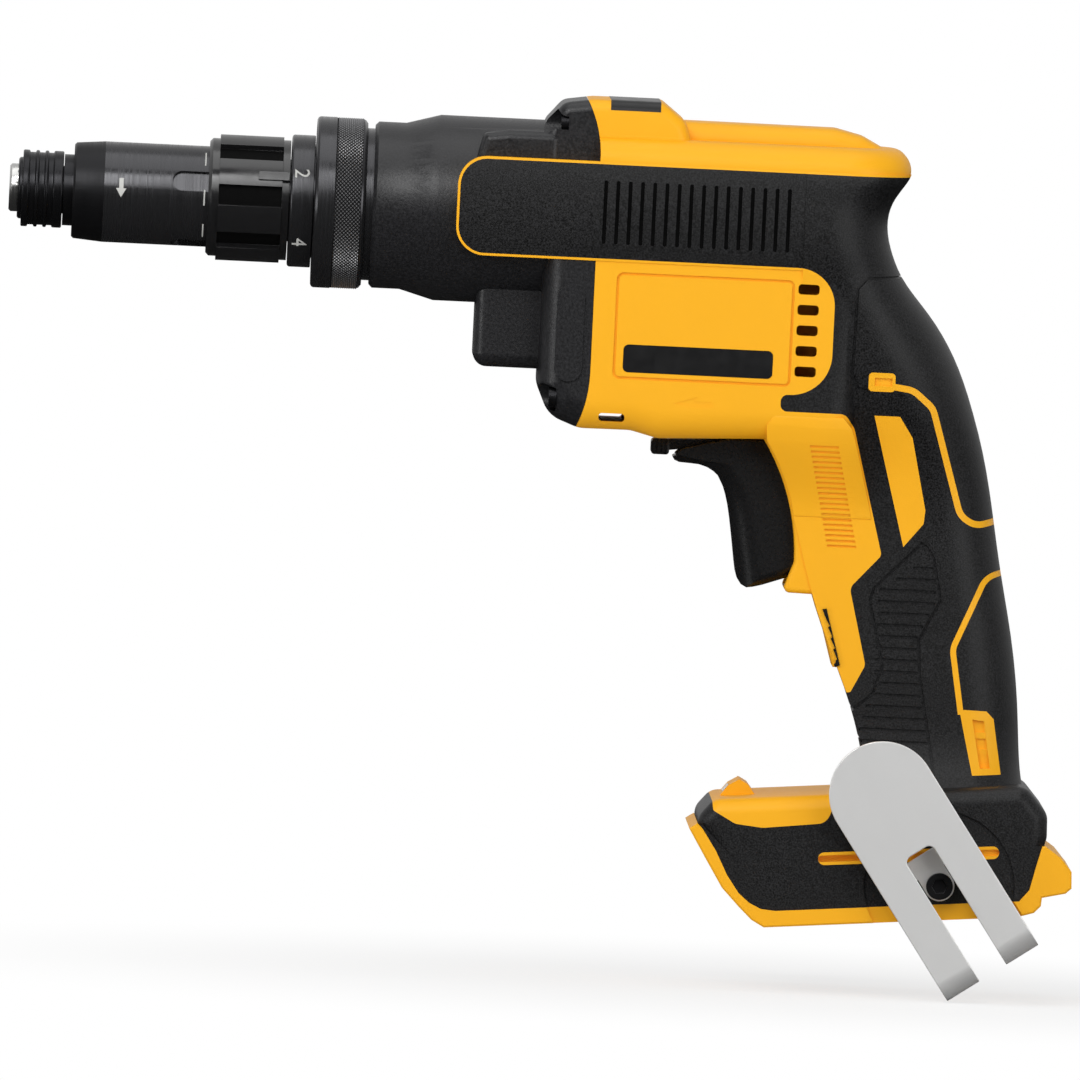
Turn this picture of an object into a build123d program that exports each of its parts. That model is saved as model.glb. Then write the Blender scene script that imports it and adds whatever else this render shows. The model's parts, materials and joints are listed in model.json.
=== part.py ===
from build123d import *
import math
import os

# A cordless screwdriver with a quick-change bit chuck, an adjustable clutch nose and a belt hook.
# Millimetres. X runs from the chuck mouth to the back of the tool, Y across it and Z up.
# The origin is the middle of the chuck mouth, on the spindle line.

os.makedirs("parts", exist_ok=True)

# Clearances
RUN = 0.08  # radial gap of a running or sliding fit
SEAT = 0.1  # gap round a piece that sits in a moulded seat
GAP = 0.3  # gap between moving pieces that never bear on each other
FIT = 0.03  # radial gap of a bush, bearing or screw in its seat

# Walls of the moulded body
WALL = 2.6
SKIN = 1.5  # soft overmould on the hard shell
GROOVE = 0.7  # depth of the moulded grooves
RIB = 2.4

# Bit chuck
BIT_HEX = 6.35  # across the flats of the bit shank
BIT_DEPTH = 24.0
CHUCK_TIP_R = 7.0
CHUCK_LIP_X = 2.5
CHUCK_LIP_R = 9.0
CHUCK_SLEEVE_X = 3.7
CHUCK_SLEEVE_END = 15.6
CHUCK_SLEEVE_R = 11.2
CHUCK_RIB_DEPTH = 0.6
CHUCK_SHOULDER_R = 10.4
CHUCK_END = 32.0
BALL_R = 1.6
BALL_X = 14.3
BALL_CENTRE_R = 5.0
BALLS = 3
CHUCK_WALL = 2.5  # front and back walls of the sleeve
CHUCK_POCKET_R = 9.2
CHUCK_CLIP_R = 8.8

# Torque nose
TORQUE_X = 18.6
TORQUE_TAPER_END = 27.6
TORQUE_END = 81.0
TORQUE_TIP_R = 14.0
TORQUE_R = 14.7
TORQUE_STEP_X = 36.0
KEYWAY_X = 47.5
KEYWAY_WIDTH = 6.0
KEYWAY_DEPTH = 1.6
KEYWAY_ANGLE = 18.7  # one keyway's height above the side, in degrees
KEYWAYS = 4
COLLAR_X = 58.0
COLLAR_END = 81.6
COLLAR_R = 18.5
COLLAR_VALLEY_R = 16.9
COLLAR_LIP_R = 17.2
COLLAR_RIBS = 8
COLLAR_RIB_ANGLE = 26.0
COLLAR_TURN = 26.5  # one rib's height above the side, in degrees
POINTER_TURN = 23.0
POINTER_WIDTH = 2.6
POINTER_LENGTH = 9.0
COLLAR_WALL = 4.0  # front wall of the collar, with its keys
COLLAR_POCKET_R = 16.2
COLLAR_BACK_WALL = 3.6
COLLAR_CLIP_X = 68.0
CLIP_THICK = 1.2
NUMBER_X = 81.9
NUMBER_END = 88.7
NUMBER_R = 19.3
KNURL_X = 89.0
KNURL_END = 103.8
KNURL_R = 25.0
TUBE_X = 38.0
TUBE_R = 12.0
TUBE_SEAT_R = 16.5
TUBE_BORE_R = 9.6
TUBE_FLANGE_R = 22.2
TUBE_SPIGOT_R = 18.0

# Spindle and clutch
SPINDLE_R = 5.5
JOURNAL_R = 4.0
SPINDLE_X = 26.0
JOURNAL_X = 134.0
SPINDLE_END = 166.0
BUSH_X = 84.0
BUSH_END = 98.0
WASHER_X = 117.0
WASHER_THICK = 1.15
WASHER_R = 14.0
TUBE_END = WASHER_X - SEAT
SPRING_IN_R = 6.2
SPRING_OUT_R = 9.2
CAM_X = WASHER_X + WASHER_THICK + 0.05
CAM_R = 15.0
CAM_PLATE = 5.8
DOG_INNER_R = 9.0
DOGS = 3
DOG_ANGLE = 50.0
CAM_DOG = 7.0
DOG_GAP = 1.5  # space between the two sets of dogs at rest

# Gears
GEAR_MODULE = 1.0
GEAR_TEETH = 47
PINION_TEETH = 13
PRESSURE_ANGLE = 25.0
ADDENDUM = 0.9
DEDENDUM = 1.25
BACKLASH = 0.12
GEAR_X = 147.5
GEAR_WIDTH = 9.0
GEAR_HUB = 7.5
GEAR_ROOM = 0.5
MOTOR_Z = -GEAR_MODULE * (GEAR_TEETH + PINION_TEETH) / 2
GEAR_TIP_R = GEAR_MODULE * (GEAR_TEETH / 2 + ADDENDUM)
PINION_TIP_R = GEAR_MODULE * (PINION_TEETH / 2 + ADDENDUM)

# Gear case
CASE_X = 106.0
CASE_NOSE_R = 24.3
CASE_NOSE_END = 115.0
CASE_FLARE_END = 125.0
CASE_WALL = 2.2
CASE_BORE_R = GEAR_TIP_R + GEAR_ROOM
CASE_R = CASE_BORE_R + CASE_WALL
SHOULDER_TOP = 24.0  # ledge on both sides of the round case, with a trough to each upper screw
SHOULDER_HALF = 23.5
NOSE_X = 137.3
NOSE_END = 158.0
NOSE_TOP = -10.0
NOSE_LOW = -45.3
NOSE_CORNER = 4.0
CAM_ROOM_R = CAM_R + 2.0
BEARING_R = 9.5
BEARING_WIDTH = 6.0
SHAFT_R = 3.0
SHAFT_INSET = 0.2  # both ends stop inside their bearings
BEARING_X = 140.0
NOSE_HALF = BEARING_R + 5.5
REAR_BUSH_R = 7.0
PLATE_X = 162.5
PLATE_HALF = 22.0
PLATE_TOP = 22.0
PLATE_LOW = MOTOR_Z - 22.0
PLATE_CORNER = 12.0
SEAM = 171.6  # joint between gear case and housing
SCREW_HEAD_X = 162.0
CASE_SCREWS = ((19.5, 27.0), (24.8, -53.0))  # across and up, on both sides
CASE_SCREW_LENGTH = 20.0

# Motor
FAN_X = 173.0
FAN_LENGTH = 8.0
FAN_R = 20.0
FAN_BLADES = 9
STATOR_X = 186.0
STATOR_LENGTH = 26.0
STATOR_R = 23.0
STATOR_YOKE = 3.5
STATOR_BORE_R = 12.2
STATOR_TEETH = 6
TOOTH_WIDTH = 6.0
COIL_THICK = 3.0
COIL_END = 3.5
ROTOR_R = 10.3
MAGNET_THICK = 1.3
MAGNETS = 4
REAR_BEARING_X = 222.0
SENSOR_X = STATOR_X + STATOR_LENGTH + COIL_END + 0.3

# Housing
BAR_FRONT = 130.5
BAR_TOP = 16.4
BAR_LOW = -12.5
BAR_HALF = 30.0
BAR_EDGE_HALF = 28.9
BAR_CORNER = 8.5
BAR_RIM = 0.7  # hard rim that shows round the soft bar panel
BAR_RIBS = 16
BAR_RIB_X = 173.6
BAR_RIB_PITCH = 3.57
BAY_HALF = 28.5
BAY_LOW = -62.4
BAY_FRONT = 156.4
HUMP_HALF = 23.0
HUMP_TOP = 34.4
RIDGE_HALF = 14.0
RIDGE_TOP = 28.9
CAP_TOP = 23.6
GRIP_FRONT = 232.0
BAR_LAP = 8.0  # the bar runs into the grip
GUARD_HALF = 16.6

# Grip stations: height, front, back, half width, front corner and back corner radius
GRIP_STATIONS = (
    (BAR_TOP, GRIP_FRONT, 262.7, 29.3, 6, 18),
    (9, GRIP_FRONT, 258.2, 30.2, 6, 18),
    (1, GRIP_FRONT, 256.4, 30.5, 6, 18),
    (-7, GRIP_FRONT, 258.2, 30.1, 6, 18),
    (-14, GRIP_FRONT, 261.6, 29, 5.5, 19),
    (-24.5, GRIP_FRONT, 270, 27.6, 4, 21),
    (-37, 231, 278, 26.6, 1, 22),
    (-52, 229, 284, 24, 3, 20),
    (-64, 227.5, 287.6, 20.4, 6, 17),
    (-76, 230.5, 290.3, 18, 8, 15.5),
    (-97, 236.5, 294.2, 17.2, 10, 15),
    (-115, 242.4, 298, 17.2, 11, 15),
    (-138, 252, 301.3, 17.6, 11, 15),
    (-152, 256.3, 302.4, 18.6, 11, 15),
    (-160, 257.5, 303.6, 21.5, 12, 15),
    (-168, 251, 309.2, 29, 12, 15),
)
# Cap stations: height, back, half width and back corner radius
CAP_STATIONS = (
    (BAR_TOP, 262.5, 28.6, 18),
    (19.5, 262.2, 27.9, 18),
    (22, 260.6, 26, 17),
    (CAP_TOP, 257, 22, 15),
)

# Foot, drawn on a plane that tilts up to the back
FOOT_X = 229.5
FOOT_Z = -204.0
FOOT_TILT = 4.7
FOOT_HALF = 37.0
FOOT_DECK = 37.8
SKIRT_HALF = 37.6
SKIRT_LIP = 4.0
PACK_HALF = 29.5  # room for the battery between the foot's side walls
RAIL_HALF = 25.0  # between the two rails
PACK_TOP = 14.0
PACK_BACK = 72.0
FLOOR = 2.6
SLOT_RIM = 3.7
SLOT_WIDTH = 1.9
SLOT_DEPTH = 1.0

# Trigger and lever
TRIGGER_HALF = 10.5
TRIGGER_TRAVEL = 6.0
TRIGGER_BACK = 236.0
PLUNGER_R = 2.6
PLUNGER_Z = -78.0
PLUNGER_LENGTH = 16.0
SWITCH_X = TRIGGER_BACK + TRIGGER_TRAVEL + 1.4
SWITCH_LENGTH = 19.0
SWITCH_TOP = -66.0
SWITCH_LOW = -98.0
SWITCH_HALF = 10.8
LEVER_PIVOT_X = 226.0
LEVER_PIN_R = 3.0
LEVER_TIP_X = 190.7
LEVER_TIP_HALF = 6.5
LEVER_ARM_HALF = 4.5

# Belt hook
HOOK_X = 262.2
HOOK_Z = -163.3
HOOK_SLOPE = 55.5  # its long axis below level, in degrees
HOOK_R = 15.6
HOOK_SHEET = 1.8
HOOK_GAP = 9.0
HOOK_SLOT_HALF = 4.6
HOOK_SLOT_START = 19.5
HOOK_PLATE_START = 21.2
HOOK_LENGTH = 61.0  # to the far side of the bends
HOOK_SCREW = 31.8
HOOK_RECESS = 1.0
HOOK_RECESS_R = 22.0
HOOK_TONGUE_R = 4.4
HOOK_NOTCH_START = 27.0
HOOK_NOTCH_HALF = 5.6
HOOK_BEND = 55.0  # start of the bend along the hook
HOOK_SCREW_R = 1.6
HOOK_SCREW_LENGTH = 6.8
HOOK_HEAD_R = 3.9
HOOK_HEAD = 3.0
HOOK_SOCKET_R = 2.3
INSERT_R = 3.0
INSERT_BORE_R = 1.65
INSERT_LENGTH = 5.2

# Leads of the motor and the battery
LEAD_R = 1.1
LEAD_LEVEL = -47.0
MOTOR_LEADS = (-6, 0, 6)
BATTERY_LEADS = (-4, 4)

# Terminals and electronics in the foot, on the foot's plane
TERMINAL_X = 38.0
TERMINAL_END = 70.0
TERMINAL_LOW = 5.0
TERMINAL_HALF = 18.0
CONTACTS = (-12, -4, 4, 12)
CONTACT_X = 26.0
CONTACT_LOW = 6.5
CONTACT_TOP = 12.5
CONTACT_THICK = 0.8
MODULE_X = 9.0
MODULE_END = 60.0
MODULE_HEIGHT = 10.0
MODULE_HALF = 26.0
BOARD_INSET = 4.0
BOARD_THICK = 1.6

# Body screws: place along, height and half width of the body there
BODY_SCREWS = (
    (183.0, 21.0, 26.0),
    (247.0, 11.0, 28.0),
    (214.0, -57.0, 26.0),
    (186.5, -57.0, 26.0),
    (267.0, -38.0, 24.0),
    (284.5, -99.0, 15.5),
    (256.0, -122.0, 16.0),
    (290.0, -148.0, 17.0),
    (230.0, -177.0, 36.5),
    (302.5, -174.5, 35.5),
)
BOSS_R = 4.4
SCREW_R = 1.5
SCREW_HEAD_R = 3.0
SCREW_HEAD = 2.2
SCREW_SINK = 4.0
SCREW_SEAT = 12.0  # deepest seat of a screw head, measured from the middle
SCREW_REACH = 9.0  # screw length past the middle

# Work light
LIGHT_HALF = 12.0
LENS_HALF = 7.0
LENS_LENGTH = 2.6
LENS_THICK = 0.7
EMITTER_HALF = 1.0
EMITTER_THICK = 0.6
LIGHT_SLOPE = 47.0  # slope of the lens against the foot, in degrees
LIGHT_PLACE = (-9.2, 39.75)  # middle of the lens on the foot's plane

# Side panel: frame line, plain plate, air inlets and the air outlet through the belly
FRAME_X = 178.0
FRAME_END = 230.0
FRAME_TOP = -15.5
FRAME_LOW = -46.6
PLATE_THICK = 0.8
LABEL_X = 181.0
LABEL_LENGTH = 43.5
LABEL_LOW = -44.5
LABEL_HEIGHT = 8.0
LABEL_CORNER = 1.5
VENTS = 5
VENT_X = 231.0
VENT_END = VENT_X + 6.2
VENT_HEIGHT = 3.0
VENT_PITCH = 6.0
OUTLET_X = 174.6
OUTLET_LENGTH = 7.6
OUTLET_Z = -59.2
OUTLET_HEIGHT = 2.4

FAR = 120.0  # beyond the body on every side

SIDE = Plane.XZ  # side view: X along the tool, Z up

FOOT_AXIS = (math.cos(math.radians(FOOT_TILT)), 0, math.sin(math.radians(FOOT_TILT)))
FOOT_PLANE = Plane((FOOT_X, 0, FOOT_Z), x_dir=FOOT_AXIS, z_dir=(0, -1, 0))
HOOK_AXIS = (math.cos(math.radians(HOOK_SLOPE)), 0, -math.sin(math.radians(HOOK_SLOPE)))
HOOK_PLANE = Plane((HOOK_X, 0, HOOK_Z), x_dir=HOOK_AXIS, z_dir=(0, -1, 0))


# Helpers that draw faces

def cross_plane(x, z=0.0, angle=0.0):
    """Plane across the tool at one place along it; its local X points across, turned by an angle."""
    turn = math.radians(angle)
    return Plane((x, 0, z), x_dir=(0, math.cos(turn), math.sin(turn)), z_dir=(1, 0, 0))


def ring_face(x, inner, outer, z=0.0):
    """Ring across the spindle line or a line below it."""
    with BuildSketch(cross_plane(x, z)) as face:
        Circle(outer)
        if inner:
            Circle(inner, mode=Mode.SUBTRACT)
    return face.sketch


def side_face(points, plane=Plane.XY):
    """Closed outline in side view."""
    with BuildSketch(plane) as face:
        with BuildLine():
            Polyline(*points, close=True)
        make_face()
    return face.sketch


def box_face(x0, x1, z0, z1, plane=Plane.XY, corner=0.0):
    """Rectangle in side view, with round corners if asked for."""
    with BuildSketch(plane) as face:
        with Locations(((x0 + x1) / 2, (z0 + z1) / 2)):
            if corner:
                RectangleRounded(x1 - x0, z1 - z0, corner)
            else:
                Rectangle(x1 - x0, z1 - z0)
    return face.sketch


def path_face(points, width, corner, plane=Plane.XY):
    """Line of constant width in side view, with round bends."""
    with BuildSketch(plane) as face:
        with BuildLine():
            FilletPolyline(*points, radius=corner)
        trace(line_width=width)
    return face.sketch


def radial_plane(angle, r):
    """Plane that faces out from the spindle line at one angle from +Y; its local X runs along the tool."""
    turn = math.radians(angle)
    out = (0, math.cos(turn), math.sin(turn))
    return Plane((0, r * out[1], r * out[2]), x_dir=(1, 0, 0), z_dir=out)


def sector_face(x, inner, outer, middle, width, z=0.0):
    """Piece of a ring across the spindle line or a line below it; angles in degrees."""
    half = math.radians(width / 2)

    def at(r, turn):
        return (r * math.cos(turn), r * math.sin(turn))

    with BuildSketch(cross_plane(x, z, middle)) as face:
        with BuildLine():
            ThreePointArc(at(inner, -half), at(inner, 0), at(inner, half))
            Line(at(inner, half), at(outer, half))
            ThreePointArc(at(outer, half), at(outer, 0), at(outer, -half))
            Line(at(outer, -half), at(inner, -half))
        make_face()
    return face.sketch


def gear_face(x, z, teeth, first_angle):
    """Involute spur gear outline; first_angle is where one tooth points, in degrees from +Y."""
    pitch_r = GEAR_MODULE * teeth / 2
    base_r = pitch_r * math.cos(math.radians(PRESSURE_ANGLE))
    tip_r = pitch_r + ADDENDUM * GEAR_MODULE
    root_r = pitch_r - DEDENDUM * GEAR_MODULE
    start_r = max(base_r, root_r)
    middle_r = (start_r + tip_r) / 2
    pitch_half = (math.pi * GEAR_MODULE / 2 - BACKLASH) / (2 * pitch_r)

    def involute(r):
        pressure = math.acos(min(1.0, base_r / r))
        return math.tan(pressure) - pressure

    def point(r, centre, side, flank_r):
        angle = centre + side * (pitch_half + involute(pitch_r) - involute(flank_r))
        return (r * math.cos(angle), r * math.sin(angle))

    step = 2 * math.pi / teeth
    with BuildSketch(cross_plane(x, z)) as face:
        with BuildLine():
            for tooth in range(teeth):
                centre = math.radians(first_angle) + tooth * step
                foot_in = point(root_r, centre, -1, start_r)
                foot_out = point(root_r, centre, 1, start_r)
                rise = [point(r, centre, -1, r) for r in (start_r, middle_r, tip_r)]
                fall = [point(r, centre, 1, r) for r in (tip_r, middle_r, start_r)]
                if start_r > root_r:
                    Line(foot_in, rise[0])
                    Line(fall[2], foot_out)
                ThreePointArc(*rise)
                Line(rise[2], fall[0])
                ThreePointArc(*fall)
                Line(foot_out, point(root_r, centre + step, -1, start_r))
        make_face()
    return face.sketch


def write_piece(piece, node):
    """Names one finished piece and writes its file."""
    piece.part.label = node
    export_step(piece.part, f"parts/{node}.step")


# Shapes of the left half of the moulded body; inset makes the same shape smaller on every outer side

def side_block(outline, half, corner, edge, inset, plane=SIDE):
    """Side outline carried from the middle to one side, with its outer edges rounded."""
    with BuildPart() as block:
        with BuildSketch(plane) as side:
            with BuildLine():
                Polyline(*outline, close=True)
            make_face()
            fillet(side.vertices(), corner)
            if inset:
                offset(amount=-inset)
        extrude(amount=half - inset)
        fillet(block.faces().sort_by(Axis.Y)[0].edges(), edge - inset)
    return block.part


def level_section(z, front, back, half, front_corner, back_corner, inset):
    """Level section of the grip or the cap."""
    least_corner = 0.4
    with BuildSketch(Plane.XY.offset(z)) as section:
        with Locations(((front + back) / 2, (inset - half) / 2)):
            Rectangle(back - front - 2 * inset, half - inset)
        outer_corners = section.vertices().group_by(Axis.Y)[0].sort_by(Axis.X)
        fillet(outer_corners[1], back_corner - inset)
        fillet(outer_corners[0], max(front_corner - inset, least_corner))
    return section.sketch


def grip_shape(inset):
    """Back strap and grip, lofted through level sections."""
    with BuildPart() as grip:
        loft([level_section(*station, inset) for station in GRIP_STATIONS])
    return grip.part


def cap_shape(inset):
    """Top cap with its round back."""
    front = SEAM - 20
    shrink = (CAP_TOP - inset - BAR_TOP) / (CAP_TOP - BAR_TOP)
    sections = []
    for z, back, half, corner in CAP_STATIONS:
        level = BAR_TOP + (z - BAR_TOP) * shrink
        sections.append(level_section(level, front, back, half, 1, corner, inset))
    with BuildPart() as cap:
        loft(sections)
    return cap.part


def bar_outline(grow):
    """Side outline of the bar panel and its arm over the gear case."""
    with BuildSketch(SIDE) as outline:
        with BuildLine():
            Polyline(
                (BAR_FRONT - grow, BAR_TOP + grow),
                (GRIP_FRONT + FAR, BAR_TOP + grow),
                (GRIP_FRONT + FAR, BAR_LOW - grow),
                (BAR_FRONT - grow, BAR_LOW - grow),
                close=True,
            )
        make_face()
        fillet(outline.vertices().group_by(Axis.X)[0], BAR_CORNER + grow)
    return outline.sketch


def bar_shape(inset, edge_inset):
    """Bar along the side, slightly bowed outward, run into the grip."""
    top, low = BAR_TOP - edge_inset, BAR_LOW + edge_inset
    edge = BAR_EDGE_HALF - inset
    with BuildPart() as bar:
        with BuildSketch(Plane.YZ.offset(BAR_FRONT)):
            with BuildLine():
                ThreePointArc((-edge, low), (inset - BAR_HALF, (top + low) / 2), (-edge, top))
                Polyline((-edge, top), (0, top), (0, low), (-edge, low))
            make_face()
        extrude(amount=GRIP_FRONT + BAR_LAP + inset - BAR_FRONT)
        extrude(bar_outline(0), amount=FAR, mode=Mode.INTERSECT)
    return bar.part


def hump_shape(inset):
    """Raised front of the top cap."""
    outline = [
        (152, 8), (155.5, 27.4), (160.5, HUMP_TOP - 1.4), (169, HUMP_TOP - 0.1),
        (189, HUMP_TOP), (196, RIDGE_TOP), (203, 8),
    ]
    return side_block(outline, HUMP_HALF, 4, 3.5, inset)


def ridge_shape(inset):
    """Ridge along the top cap."""
    outline = [(170, 8), (176, RIDGE_TOP), (240, RIDGE_TOP - 0.2), (248, 26.8), (256, 22.6), (260, 8)]
    return side_block(outline, RIDGE_HALF, 6, 5, inset)


def bay_shape(inset):
    """Motor bay under the bar."""
    back = GRIP_FRONT + 18
    outline = [
        (BAY_FRONT, 8), (BAY_FRONT, -50), (160, -58.3), (169, BAY_LOW + 0.7), (184, BAY_LOW + 0.8),
        (192, BAY_LOW - 1.2), (222, BAY_LOW), (back, BAY_LOW), (back, 8),
    ]
    return side_block(outline, BAY_HALF, 9, 8.5, inset)


def guard_shape(inset):
    """Hard front of the grip behind and below the trigger; inset only makes it narrower."""
    back = GRIP_FRONT + 30
    with BuildPart() as guard:
        with BuildSketch(SIDE) as side:
            with BuildLine():
                ThreePointArc((221.5, -60), (231.0, -79), (233.8, -98))
                Polyline(
                    (233.8, -98), (230.6, -106.9), (240.4, -107.1), (246.5, -128),
                    (back, -128), (back, -52), (221.5, -52), (221.5, -60),
                )
            make_face()
            fillet(side.vertices().sort_by(Axis.X)[2:5], 1.6)
        extrude(amount=GUARD_HALF - inset)
        fillet(guard.faces().sort_by(Axis.Y)[0].edges(), 1.5)
    return guard.part


def foot_shape(inset):
    """Foot over the battery."""
    outline = [
        (-13, FOOT_DECK), (-19, 31.8), (-17, 28), (-12, 19), (-6.7, 10.6), (-0.6, SKIRT_LIP),
        (75, SKIRT_LIP), (78, 8), (83.6, 23), (84, 30), (78, FOOT_DECK + 0.5),
    ]
    return side_block(outline, FOOT_HALF, 5, 4.5, inset, FOOT_PLANE)


def body_shape(inset, is_cavity=False):
    """Whole moulded body, less its bottom lip."""
    with BuildPart() as body:
        add(bar_shape(inset, inset if is_cavity else 0))
        add(cap_shape(inset))
        add(hump_shape(inset))
        add(ridge_shape(inset))
        add(bay_shape(inset))
        add(grip_shape(inset))
        if not is_cavity:
            add(guard_shape(inset))
        add(foot_shape(inset))
    return body.part


def front_zone(seam):
    """Side outline of everything in front of the joint between gear case and housing."""
    front = CASE_X - 40
    with BuildSketch(SIDE) as zone:
        with BuildLine():
            Line((seam, 18), (seam, -45))
            ThreePointArc((seam, -45), (seam - 1, -54), (seam - 4, -62.6))
            Polyline(
                (seam - 4, -62.6), (seam - 4, -FAR), (front, -FAR), (front, FAR),
                (seam - 4.8, FAR), (seam - 4.8, 35),
            )
            ThreePointArc((seam - 4.8, 35), (seam - 1.3, 27), (seam, 18))
        make_face()
    return zone.sketch


def skirt_shape():
    """Hard lip along the front and bottom of the foot, and the rail ends at its back."""
    outline = [
        (-20.5, 29.6), (-15.9, 20.4), (-11.6, 12), (-7, 6.4), (-3.3, 2.3), (0.2, 0), (74, 0.4),
        (79, 1.5), (81.1, 3.4), (81.5, 5.8), (88.4, 6.8), (90.2, 8.2), (90.4, 13), (87.2, 17.4),
        (83, 20.8), (72, 20), (68, 8), (4, 8), (-6, 17), (-18, 31),
    ]
    with BuildPart() as skirt:
        extrude(side_face(outline, FOOT_PLANE), amount=SKIRT_HALF)
        chamfer(skirt.faces().sort_by(Axis.Y)[0].edges(), 0.5)
    return skirt.part


def soft_zone():
    """Side outline of the soft black overmould."""
    rim_top = BAR_TOP - BAR_RIM
    rim_low = BAR_LOW + BAR_RIM
    panel_back = 241.8
    corners = [
        ((BAR_FRONT + BAR_RIM, rim_top), BAR_CORNER - BAR_RIM),
        ((275, rim_top), 0), ((330, -60), 0), ((330, -215), 0), ((195, -215), 0), ((195, -160), 0),
        ((211.9, -160), 0), ((213.4, -170.6), 1), ((220, -174.2), 4), ((228, -175), 6),
        ((246.5, -172.8), 4), ((249, -166), 3), ((245, -155), 0), ((245, -136), 0),
        ((252, -135), 0), ((256, -127), 3), ((250.4, -104.6), 3),
        ((259.2, -94.8), 2), ((249.4, -58), 6), ((246.5, -53.8), 3), ((227.4, -53.8), 2), ((227.4, -48.9), 2),
        ((panel_back, -48.9), 12), ((panel_back, rim_low), 11),
        ((BAR_FRONT + BAR_RIM, rim_low), BAR_CORNER - BAR_RIM),
    ]
    with BuildSketch(SIDE) as zone:
        with BuildLine():
            Polyline(*[place for place, radius in corners], close=True)
        make_face()
        for place, radius in corners:
            if radius:
                fillet(zone.vertices().sort_by_distance((*place, 0))[0], radius)
    return zone.sketch


def hard_lines():
    """Hard plastic that shows through the soft skin: lines, inlay, buckles and the foot's slot rim."""
    upper = [(260, -45.2), (266, -46), (272, -51), (281.5, -82), (286, -85), (296, -82.6)]
    lower = [(300, -97), (290, -99.8), (281.2, -121), (284.5, -140)]
    with BuildSketch(SIDE) as lines:
        add(box_face(252.8, 260.6, -46.8, -41.3, corner=1.2))
        add(path_face(upper, 1.9, 6))
        add(side_face([(255, -53.9), (262.5, -53.9), (266.5, -60), (271.3, -81), (271, -85), (265.4, -92)]))
        add(path_face(lower, 1.7, 6))
        add(side_face([(284, -138.6), (292, -138.8), (294.2, -141), (297, -157), (288.6, -157.6)]))
    return lines.sketch


def slot_rim(width):
    """Long slot on the foot's side."""
    start, end, level = 16.7, 69.5, 19.4
    return box_face(start, end, level - width / 2, level + width / 2, FOOT_PLANE, width / 2.01)


def hard_grooves():
    """Fine grooves in the hard shell: the panel frame and the finger ribs behind the trigger."""
    frame_width, rib_width, ribs = 0.8, 0.7, 20
    first, last, length = Vector(236.6, -64), Vector(243.2, -93), 8.4
    with BuildSketch(SIDE) as grooves:
        add(box_face(FRAME_X, FRAME_END, FRAME_LOW, FRAME_TOP, corner=2))
        add(
            box_face(
                FRAME_X + frame_width, FRAME_END - frame_width,
                FRAME_LOW + frame_width, FRAME_TOP - frame_width, corner=1.2,
            ),
            mode=Mode.SUBTRACT,
        )
        for rib in range(ribs):
            start = first + (last - first) * (rib / (ribs - 1))
            add(box_face(start.X, start.X + length, start.Y, start.Y + rib_width))
    return grooves.sketch


def soft_grooves():
    """Fine grooves in the soft skin: the borders of the back pad and of the grip panel."""
    back_pad = [(264, -13.4), (251, -14), (248.3, -17), (248, -42), (249.6, -46), (253, -46.8)]
    grip_back = [
        (269.5, -92), (271.8, -91), (274.5, -95), (277, -107), (271.2, -119), (272, -130), (278.5, -163),
    ]
    grip_front = [(271, -90.5), (257.4, -104.4), (256.4, -108), (261, -127), (258.4, -135.5), (249, -143)]
    with BuildSketch(SIDE) as grooves:
        for border in (back_pad, grip_back, grip_front):
            add(path_face(border, 0.9, 1.5))
    return grooves.sketch


def bar_ribs():
    """Upright grooves of the bar panel."""
    with BuildSketch(SIDE.offset(BAR_HALF - 1.3 * GROOVE)) as ribs:
        for rib in range(BAR_RIBS):
            x = BAR_RIB_X + rib * BAR_RIB_PITCH
            add(box_face(x - 0.55, x + 0.55, -7.5, 11, corner=0.5))
    return ribs.sketch


def grip_ribs():
    """Cross grooves of the grip panel, between its two borders."""
    first, pitch, count, half_width = -98.0, 3.4, 16, 0.5
    with BuildSketch(SIDE) as ribs:
        for rib in range(count):
            z = first - rib * pitch
            front = max(258.8, 268.5 + (z - first) * 1.4) - max(0.0, -130 - z) * 0.25
            back = min(275.6, 275.6 + (z + 108) * 0.45) if z > -119 else 270.6 + (-119 - z) * 0.19
            add(box_face(front, back, z - half_width, z + half_width, corner=0.45))
    return ribs.sketch


# Moulded body, left half first

outer = body_shape(0)
core = body_shape(SKIN)
groove_floor = body_shape(GROOVE)
cavity = body_shape(WALL, is_cavity=True)
skirt = skirt_shape()

with BuildPart() as front_room:
    # Everything in front of the joint, except the arm that lies along the gear case.
    extrude(front_zone(SEAM), amount=FAR)
    extrude(bar_outline(0), amount=FAR, mode=Mode.SUBTRACT)
    extrude(ring_face(CASE_X, 0, CASE_R + SEAT), amount=SEAM - CASE_X)

with BuildPart() as hook_room:
    # Recess in the foot's side for the plate of the belt hook, and the seat of its threaded insert.
    with BuildSketch(HOOK_PLANE.offset(FOOT_HALF - HOOK_RECESS)):
        with Locations((HOOK_SCREW, 0)):
            Circle(HOOK_RECESS_R)
        with Locations(((HOOK_PLATE_START + HOOK_LENGTH) / 2, 0)):
            Rectangle(HOOK_LENGTH - HOOK_PLATE_START + 1, 2 * HOOK_R + 1)
    extrude(amount=FAR)
    with BuildSketch(HOOK_PLANE.offset(FOOT_HALF - HOOK_RECESS - INSERT_LENGTH - SEAT)):
        with Locations((HOOK_SCREW, 0)):
            Circle(INSERT_R + FIT)
    extrude(amount=INSERT_LENGTH + 2 * SEAT)

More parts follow.
